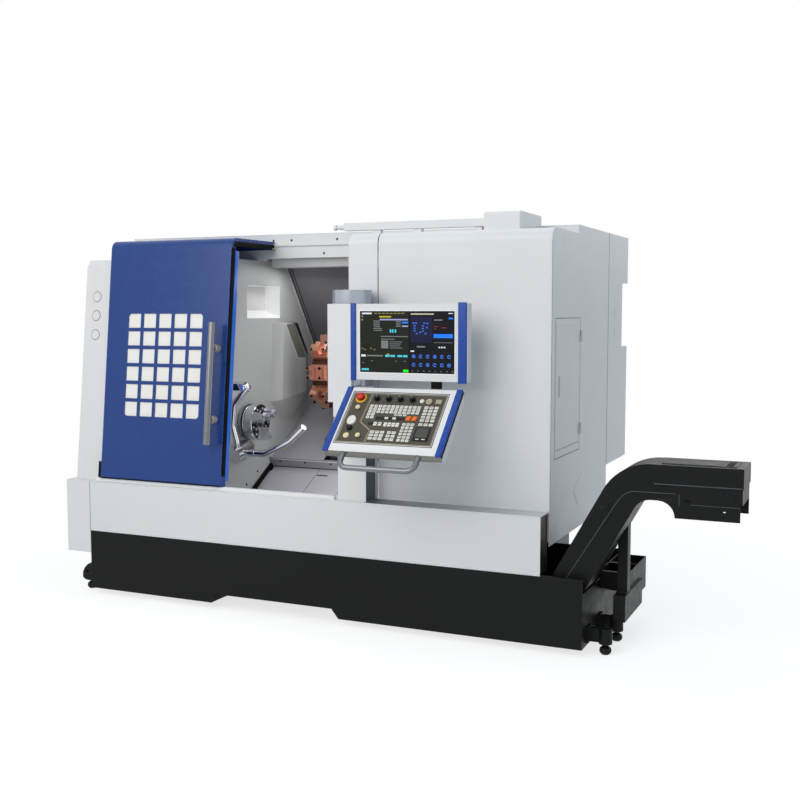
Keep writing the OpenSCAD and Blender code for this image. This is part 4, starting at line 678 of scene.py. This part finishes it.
gasket.strip(door_line(20), 36, 2.5, RIGHT, "rubber")
gasket.strip(door_line(32, True), 30, 2.5, RIGHT, "rubber")
lip = [(570, 1938), (589, 1936), (587, 1916), (562, 1908)]
gasket.strip([(DOOR_X + 2.3, y, z) for y, z in lip], 5, 1.0, RIGHT, "cream")
# Bright blue strip of the edge: painted highlight of the door blue
gasket.box((838, 36, 30), (849, 66, 1244), "painted_highlight_blue", 1.0, place=LEAN)
gasket.box((842, 66, 40), (848, 71, 1242), "frame_line", 0.8, place=LEAN)
gasket.box((66, -1.4, 0.6), (838, 0.2, 8), "rubber", 0.4, place=LEAN)
gasket.box((46, 1, 4), (64.8, 26, 92), "rubber", 1.0, place=LEAN)
gasket.done("door")
collars = Piece("handle_collars", LEAN)
collar = [(20.3, 3), (20.3, 44), (21.6, 46), (21.6, 50), (20.3, 52), (20.1, 52)]
for z in GRIP_POSTS:
    collars.lathe(collar, (792, 0, z), FRONT, "stub")
collars.done("door")

# Operator panel: plate, border lines and keys in their groups
keys = Piece("operator_keys", DESK)
PLATE, FOOT = -1.5, -1.6
ESTOP = (91.03, 65.98)
SWITCHES = [(173.98 + 60.0084 * i, 66.88) for i in range(4)]
BUTTONS = [(94.82, 124.89), (149.81, 289.93)]
holes = [circle(u, -w, 8.6, 32) for u, w in [ESTOP] + SWITCHES + BUTTONS]
keys.plate(rounded(46, -330, 520, -31, 4), -7, PLATE, "panel", holes)
inner = rounded(51, -325, 515, -36, 5, 3)
keys.strip([(x, y, PLATE) for x, y in inner], 2.4, 0.5, UP, "frame_line", closed=True)
for dx in (0, 6):
    pts = [(138 + dx, -38), (130 + dx, -207), (193 + dx, -253), (190 + dx, -323)]
    keys.strip([(x, y, PLATE) for x, y in pts], 2.4, 0.5, UP, "frame_line")


def key(u, w, du, dw, finish="key", top=3.0, mark=True):
    """One key cap with a small generic mark on it."""
    keys.box((u - du / 2, -w - dw / 2, FOOT), (u + du / 2, -w + dw / 2, top), finish, 1.3)
    if mark:
        half = du * 0.1 * (1.6 + int(u * 7 + w * 3) % 3)
        keys.box((u - half, -w - 1.2, top - 0.4), (u + half, -w + 1.4, top + 0.12), "key_mark", 0.1, 1)


def keys_at(us, ws, du, dw):
    """A block of keys at every crossing of columns and rows."""
    for w in ws:
        for u in us:
            key(u, w, du, dw)


row = [162 + 21.7 * i for i in range(12)]
keys_at(row, (111, 128, 145), 17, 13.5)
keys_at(row[:2], (162, 179), 17, 13.5)
keys_at([299, 321, 343], (160,), 17, 9)
keys.box((203, -190, FOOT), (350, -172, 0.4), "knob", 0.6)
keys_at([258, 297], (181,), 17, 12)
for u in (352, 382):
    keys.plate([(u, -189), (u + 22, -189), (u + 28, -165), (u + 6, -165)], FOOT, 3, "orange", edge=1.0)
keys_at([436, 461, 486], (110, 129, 148, 167, 186, 210), 19, 13.5)
key(187, 214, 22, 15, "knob")
keys_at([213, 236], (217,), 17, 20)
keys_at([264, 284, 304, 324], (218,), 16, 22)
keys_at([214, 239, 264], (264, 283, 302), 20, 14)
keys_at([298, 322], (264, 284, 304), 19, 14)
keys_at([356, 377, 398], (213, 231.5, 250, 268.5, 287, 305.5), 16.5, 13)
keys.box((420, -303, FOOT), (494, -227, 3), "knob", 2)
keys.box((428, -284, 2), (486, -232, 3.6), "seam_dark", 1)
for u in (436, 466):
    keys.box((u, -297, 2.5), (u + 16, -292, 3.3), "key", 0.4, 1)
keys.lathe([(11, FOOT), (11, 3), (8, 5.5), (0, 6)], (403, -73, 0), UP, "key")
keys.lathe([(16, FOOT), (16, 2.5), (13, 4), (11, 3), (0, 3)], (437.5, -73.5, 0), UP, "frame_line")
key(486, 73.5, 30, 24, "frame_line", 3.5, False)
turns = [i * math.pi / 24 for i in range(48)]
keys.plate([(89 + 22 * math.cos(t), -204 + 27 * math.sin(t)) for t in turns], FOOT, 9, "key", edge=4)
keys.lathe([(14, FOOT), (14, 4), (12, 12), (10, 14), (0, 14.6)], (92, -247, 0), UP, "knob")
keys.lathe([(15, FOOT), (15, 3), (12, 6), (0, 6.8)], (90, -291, 0), UP, "cream")
collar = [(28, -1.4), (28, 1.5), (25, 3.6), (22, 3.6), (21.6, 2), (17, 2), (17, -1.4), (28, -1.4)]
keys.lathe(collar, (ESTOP[0], -ESTOP[1], 0), UP, "yellow", 48)
for u, w in SWITCHES:
    keys.lathe([(21, PLATE), (21, -0.7), (16, -0.4), (9, -0.4), (9, PLATE)], (u, -w, 0), UP, "seam_dark", 48)
keys.done("pendant", ["key_panel"])

# White pointers on the four rotary switches
for i, (u, w) in enumerate(SWITCHES):
    pointer = Piece(f"switch_pointer_{i + 1}", DESK)
    pointer.box((u - 1.1, -w + 1, 21.2), (u + 1.1, -w + 13.2, 22.4), "key", 0.4)
    pointer.lathe([(11.4, 18.6), (11.4, 20.2), (10, 20.8), (8.6, 20.2)], (u, -w, 0), UP, "seam_dark", 40)
    pointer.done(f"switch_{i + 1}")

# Picture on the screen: plain bars, lists and icons
image = Piece("screen_image")
SCREEN_Y = -99


def on_screen(x, y, depth):
    """Machine point of a pixel in a 1100 by 720 picture."""
    return (1715 + x * 478 / 1100, SCREEN_Y + depth, 1565 - y * 286 / 720)


def patch(x0, y0, x1, y1, finish, level=2):
    """A bar on the screen: higher levels lie in front."""
    depth = -0.2 * level
    image.box(on_screen(x0, y1, depth), on_screen(x1, y0, depth + 0.15), finish)


patch(4, 4, 578, 716, "ui_left", 1)
patch(586, 4, 1096, 716, "ui_right", 1)
patch(598, 66, 850, 364, "ui_navy")
patch(22, 16, 140, 34, "ui_white")
for x in range(170, 530, 46):
    patch(x, 19, x + 34, 30, "ui_olive")
for y in (52, 92):
    patch(12, y, 36, y + 16, "ui_olive")
patch(230, 56, 370, 72, "ui_yellow")
patch(236, 90, 566, 106, "ui_lilac")
for j in range(6):
    patch(158 + 6 * (j % 2), 110 + 22 * j, 236 + 26 * (j // 4), 120 + 22 * j, "ui_grey")
for j in range(3):
    patch(426, 116 + 26 * j, 484, 128 + 26 * j, "ui_grey")
patch(498, 122, 570, 142, "ui_blue")
patch(498, 166, 570, 182, "ui_lilac")
for x in (354, 380, 412):
    patch(x, 212, x + 18, 250, "ui_cyan")
patch(250, 290, 566, 300, "ui_grey")
patch(252, 322, 410, 332, "ui_grey")
patch(252, 344, 336, 436, "ui_grey")
for j in range(4):
    patch(352, 354 + 24 * j, 500 - 14 * (j % 3), 362 + 24 * j, "ui_grey")
for x in (16, 48, 120, 160):
    patch(x, 430 + (x % 7) * 3, x + 22, 440 + (x % 7) * 3, "ui_olive")
patch(12, 512, 66, 536, "ui_white")
patch(80, 516, 272, 532, "ui_grey")
for x in (300, 362, 444, 508):
    patch(x, 512, x + 54, 536, "ui_cyan")
patch(320, 498, 350, 508, "ui_yellow")
for x in (24, 130, 420, 520):
    patch(x, 580 + (x % 5) * 6, x + 22, 588 + (x % 5) * 6, "ui_grey")
patch(16, 676, 104, 698, "ui_cyan")
patch(512, 682, 572, 712, "ui_green")
patch(600, 24, 864, 40, "ui_sand")
patch(1030, 20, 1080, 30, "ui_white")
marks = [(622, 128), (652, 128), (746, 128), (780, 132), (634, 160), (634, 190), (634, 220)]
marks += [(730, 160), (730, 190), (730, 220), (776, 180), (700, 236), (660, 250), (760, 250)]
for a, b in marks:
    patch(a, b, a + 22, b + 16, "ui_icon", 3)
patch(868, 94, 962, 108, "ui_grey")
patch(1034, 72, 1082, 92, "ui_blue")
for a, b, c in ((870, 172, 42), (952, 186, 60), (870, 200, 26)):
    patch(a, b, a + c, b + 8, "ui_red")
patch(864, 262, 1080, 308, "ui_blue")
patch(864, 358, 1080, 364, "ui_grey")
patch(670, 402, 766, 420, "ui_grey")
for x in (920, 948, 978):
    patch(x, 408, x + 18, 424, "ui_white")
patch(598, 456, 640, 472, "ui_white")
for j in range(2):
    for i in range(6):
        x, y = 634 + 81 * i, 524 + 98 * j
        image.lathe([(9, 0), (9, 0.2), (5.2, 0.2), (5.2, 0)], on_screen(x, y, -0.2), FRONT, "ui_icon", 18)
        patch(x - 14 + 6 * ((i + j) % 2), y - 4, x + 20, y + 6, "ui_right" if (i + j) % 3 else "ui_icon", 3)
for x in range(610, 1080, 66):
    patch(x, 690, x + 18, 698, "ui_grey")
image.done("pendant")

# Chuck: dark ground face between the jaws with its screws, dark rings round the drum, and the screws of each jaw
face = Piece("chuck_face", CHUCK @ ACROSS)
for a in JAWS:
    span = [math.radians(a + 26 + 68 * i / 12) for i in range(13)]
    ring = [(97 * math.cos(t), 97 * math.sin(t)) for t in span]
    ring += [(46 * math.cos(t), 46 * math.sin(t)) for t in reversed(span)]
    face.plate(ring, 0.05, 0.22, "face")
    for turn, r in ((40, 78), (60, 60), (80, 78)):
        t = math.radians(a + turn)
        face.screw((r * math.cos(t), r * math.sin(t), 0.2), UP, 6, "zinc")
for z0, z1 in ((-69, -59), (-50, -47)):
    face.lathe([(99.6, z0), (100.3, z0), (100.3, z1), (99.6, z1)], (0, 0, 0), UP, "bolt", 64)
face.done("spindle")
for i, a in enumerate(JAWS):
    screws = Piece(f"jaw_screws_{i + 1}", CHUCK @ Matrix.Rotation(math.radians(a), 4, "X"))
    for r in (46, 82):
        screws.screw((20.9, r, 0), RIGHT, 7, "zinc")
    screws.done(f"jaw_{i + 1}")

# Tool setter: polished sleeves along the two bent tubes, in the plane of the arm
sleeves = Piece("setter_sleeves", SETTER @ Matrix.Translation((0, -24, 0)) @ UPRIGHT)
cut = 18
for bends in (
    [(4, 40), (8, 60), (-4, 163), (32, 293), (132, 386)],
    [(40, 8), (66, 8), (172, 8), (341, 91), (404, 146)],
):
    path = [Vector((x, y, 0)) for x, y in bends]
    soft = [path[0]]
    for a, b, c in zip(path, path[1:], path[2:]):
        start, end = b + (a - b).normalized() * cut, b + (c - b).normalized() * cut
        soft += [start, (start + end + 2 * b) / 4, end]
    sleeves.tube(soft + [path[-1]], 17.5, "chrome")
sleeves.done("setter")

# Side door: folded lines on the leaf, dark gap round it
lines = Piece("side_door_lines")
lines.strip([(SIDE_X, 212, 1504), (SIDE_X, 640, 1504)], 5, 0.9, RIGHT, "pale")
lines.strip([(SIDE_X, 218, 884), (SIDE_X, 218, 1504)], 5, 0.9, RIGHT, "pale")
lines.strip([(SIDE_X, 212, 908), (SIDE_X, 640, 908)], 2.5, 0.5, RIGHT, "seam")
lines.done("side_door")
gap = Piece("side_door_gap")
frame_line = [(SIDE_X, y, z) for y, z in ((200, 869), (649, 869), (649, 1532), (200, 1532))]
gap.strip(frame_line, 4, 0.4, RIGHT, "seam_dark", closed=True)
gap.done("frame")

# Socket screws on the turret's tool holders
bolts = Piece("turret_bolts", TURRET)
bolt = [(7, 182), (7, 215), (8.6, 215), (8.6, 218), (7.6, 219.5), (4, 219.5), (4, 217), (0, 217)]
for i in range(8):
    spin = Matrix.Rotation(math.radians(45 * i), 4, "X")
    for x in (6, 82):
        for y in (-27, 27):
            bolts.lathe(bolt, (x, y, 0), UP, "bolt", 20, spin)
bolts.done("turret")


def finish_world():
    """Stage: pale floor, white surround for camera, gloss and glass, soft lamps, and the camera."""
    scene = bpy.context.scene
    scene.view_settings.view_transform = "Standard"
    world = bpy.data.worlds.new("surround")
    scene.world = world
    world.use_nodes = True
    tree = world.node_tree
    seen = tree.nodes["Background"]
    seen.inputs["Color"].default_value = (1, 1, 1, 1)
    seen.inputs["Strength"].default_value = 1.0
    fill = tree.nodes.new("ShaderNodeBackground")
    fill.inputs["Color"].default_value = (0.69, 0.86, 1.0, 1)
    fill.inputs["Strength"].default_value = 0.38
    pick = tree.nodes.new("ShaderNodeMixShader")
    tree.links.new(direct_rays(tree), pick.inputs["Fac"])
    tree.links.new(fill.outputs["Background"], pick.inputs[1])
    tree.links.new(seen.outputs["Background"], pick.inputs[2])
    tree.links.new(pick.outputs["Shader"], tree.nodes["World Output"].inputs["Surface"])

    data = bpy.data.meshes.new("studio_floor")
    half, level = 40, -0.001
    corners = [(x, y, level) for x, y in ((-half, -half), (half, -half), (half, half), (-half, half))]
    data.from_pydata(corners, [], [(0, 1, 2, 3)])
    floor = bpy.data.objects.new("studio_floor", data)
    scene.collection.objects.link(floor)
    material = bpy.data.materials.new("floor_pale")
    material.use_nodes = True
    tree = material.node_tree
    tree.nodes.remove(tree.nodes["Principled BSDF"])
    plain = tree.nodes.new("ShaderNodeBsdfDiffuse")
    plain.inputs["Color"].default_value = (0.8, 0.8, 0.8, 1)
    dim = tree.nodes.new("ShaderNodeBsdfDiffuse")
    dim.inputs["Color"].default_value = (0.42, 0.42, 0.42, 1)
    glow = tree.nodes.new("ShaderNodeEmission")
    glow.inputs["Strength"].default_value = 0.74
    both = tree.nodes.new("ShaderNodeAddShader")
    tree.links.new(dim.outputs["BSDF"], both.inputs[0])
    tree.links.new(glow.outputs["Emission"], both.inputs[1])
    # Far from the object the floor runs into the white surround
    white = tree.nodes.new("ShaderNodeEmission")
    place = tree.nodes.new("ShaderNodeTexCoord")
    far = tree.nodes.new("ShaderNodeVectorMath")
    far.operation = "LENGTH"
    tree.links.new(place.outputs["Object"], far.inputs[0])
    fade = tree.nodes.new("ShaderNodeMapRange")
    fade.interpolation_type = "SMOOTHSTEP"
    fade.inputs["From Min"].default_value = 1.4
    fade.inputs["From Max"].default_value = 3.2
    tree.links.new(far.outputs["Value"], fade.inputs["Value"])
    seen = tree.nodes.new("ShaderNodeMixShader")
    tree.links.new(fade.outputs["Result"], seen.inputs["Fac"])
    tree.links.new(both.outputs["Shader"], seen.inputs[1])
    tree.links.new(white.outputs["Emission"], seen.inputs[2])
    pick = tree.nodes.new("ShaderNodeMixShader")
    tree.links.new(direct_rays(tree), pick.inputs["Fac"])
    tree.links.new(plain.outputs["BSDF"], pick.inputs[1])
    tree.links.new(seen.outputs["Shader"], pick.inputs[2])
    tree.links.new(pick.outputs["Shader"], tree.nodes["Material Output"].inputs["Surface"])
    data.materials.append(material)

    neutral, warm, cool = (1, 1, 1), (1, 0.94, 0.88), (0.45, 0.75, 1.0)
    for name, at, aim, wide, high, power, colour in (
        ("key_lamp", (-1.4, -6.0, 4.4), (0.1, 0, 1.0), 6.0, 5.0, 274, warm),
        ("fill_lamp", (4.8, -3.6, 3.6), (0.4, 0, 1.0), 4.0, 4.0, 4, cool),
        ("top_lamp", (0.4, 0.8, 5.6), (0.2, 0.2, 0), 5.0, 5.0, 60, neutral),
        ("back_lamp", (2.5, 5.0, 4.0), (0, 0, 1.0), 4.0, 4.0, 40, neutral),
        ("chamber_lamp", BASE @ Vector((1160, 700, 1800)), BASE @ Vector((1100, 560, 900)), 0.7, 0.1, 2.4, neutral),
        ("chamber_fill", BASE @ Vector((1500, 430, 1060)), BASE @ Vector((730, 480, 930)), 0.5, 1.0, 2.7, neutral),
    ):
        lamp = bpy.data.lights.new(name, "AREA")
        lamp.shape = "RECTANGLE"
        lamp.size = wide
        lamp.size_y = high
        lamp.energy = power
        lamp.color = colour
        obj = bpy.data.objects.new(name, lamp)
        obj.location = at
        obj.rotation_euler = (Vector(aim) - Vector(at)).to_track_quat("-Z", "Y").to_euler()
        obj.visible_camera = False
        scene.collection.objects.link(obj)

    lens = bpy.data.cameras.new("photo_camera")
    lens.sensor_width = 36.0
    lens.lens = 48.811
    lens.clip_end = 200.0
    camera = bpy.data.objects.new("photo_camera", lens)
    camera.location = BASE @ Vector((3985, -4712, 1567))
    camera.rotation_euler = (math.radians(90 - 4.699212), 0, math.radians(24.103773))
    scene.collection.objects.link(camera)
    scene.camera = camera


def direct_rays(tree):
    """1 for camera, glossy and transmission rays."""
    path = tree.nodes.new("ShaderNodeLightPath")
    value = path.outputs["Is Camera Ray"]
    for kind in ("Is Glossy Ray", "Is Transmission Ray"):
        either = tree.nodes.new("ShaderNodeMath")
        either.operation = "MAXIMUM"
        tree.links.new(value, either.inputs[0])
        tree.links.new(path.outputs[kind], either.inputs[1])
        value = either.outputs["Value"]
    return value


finish_world()
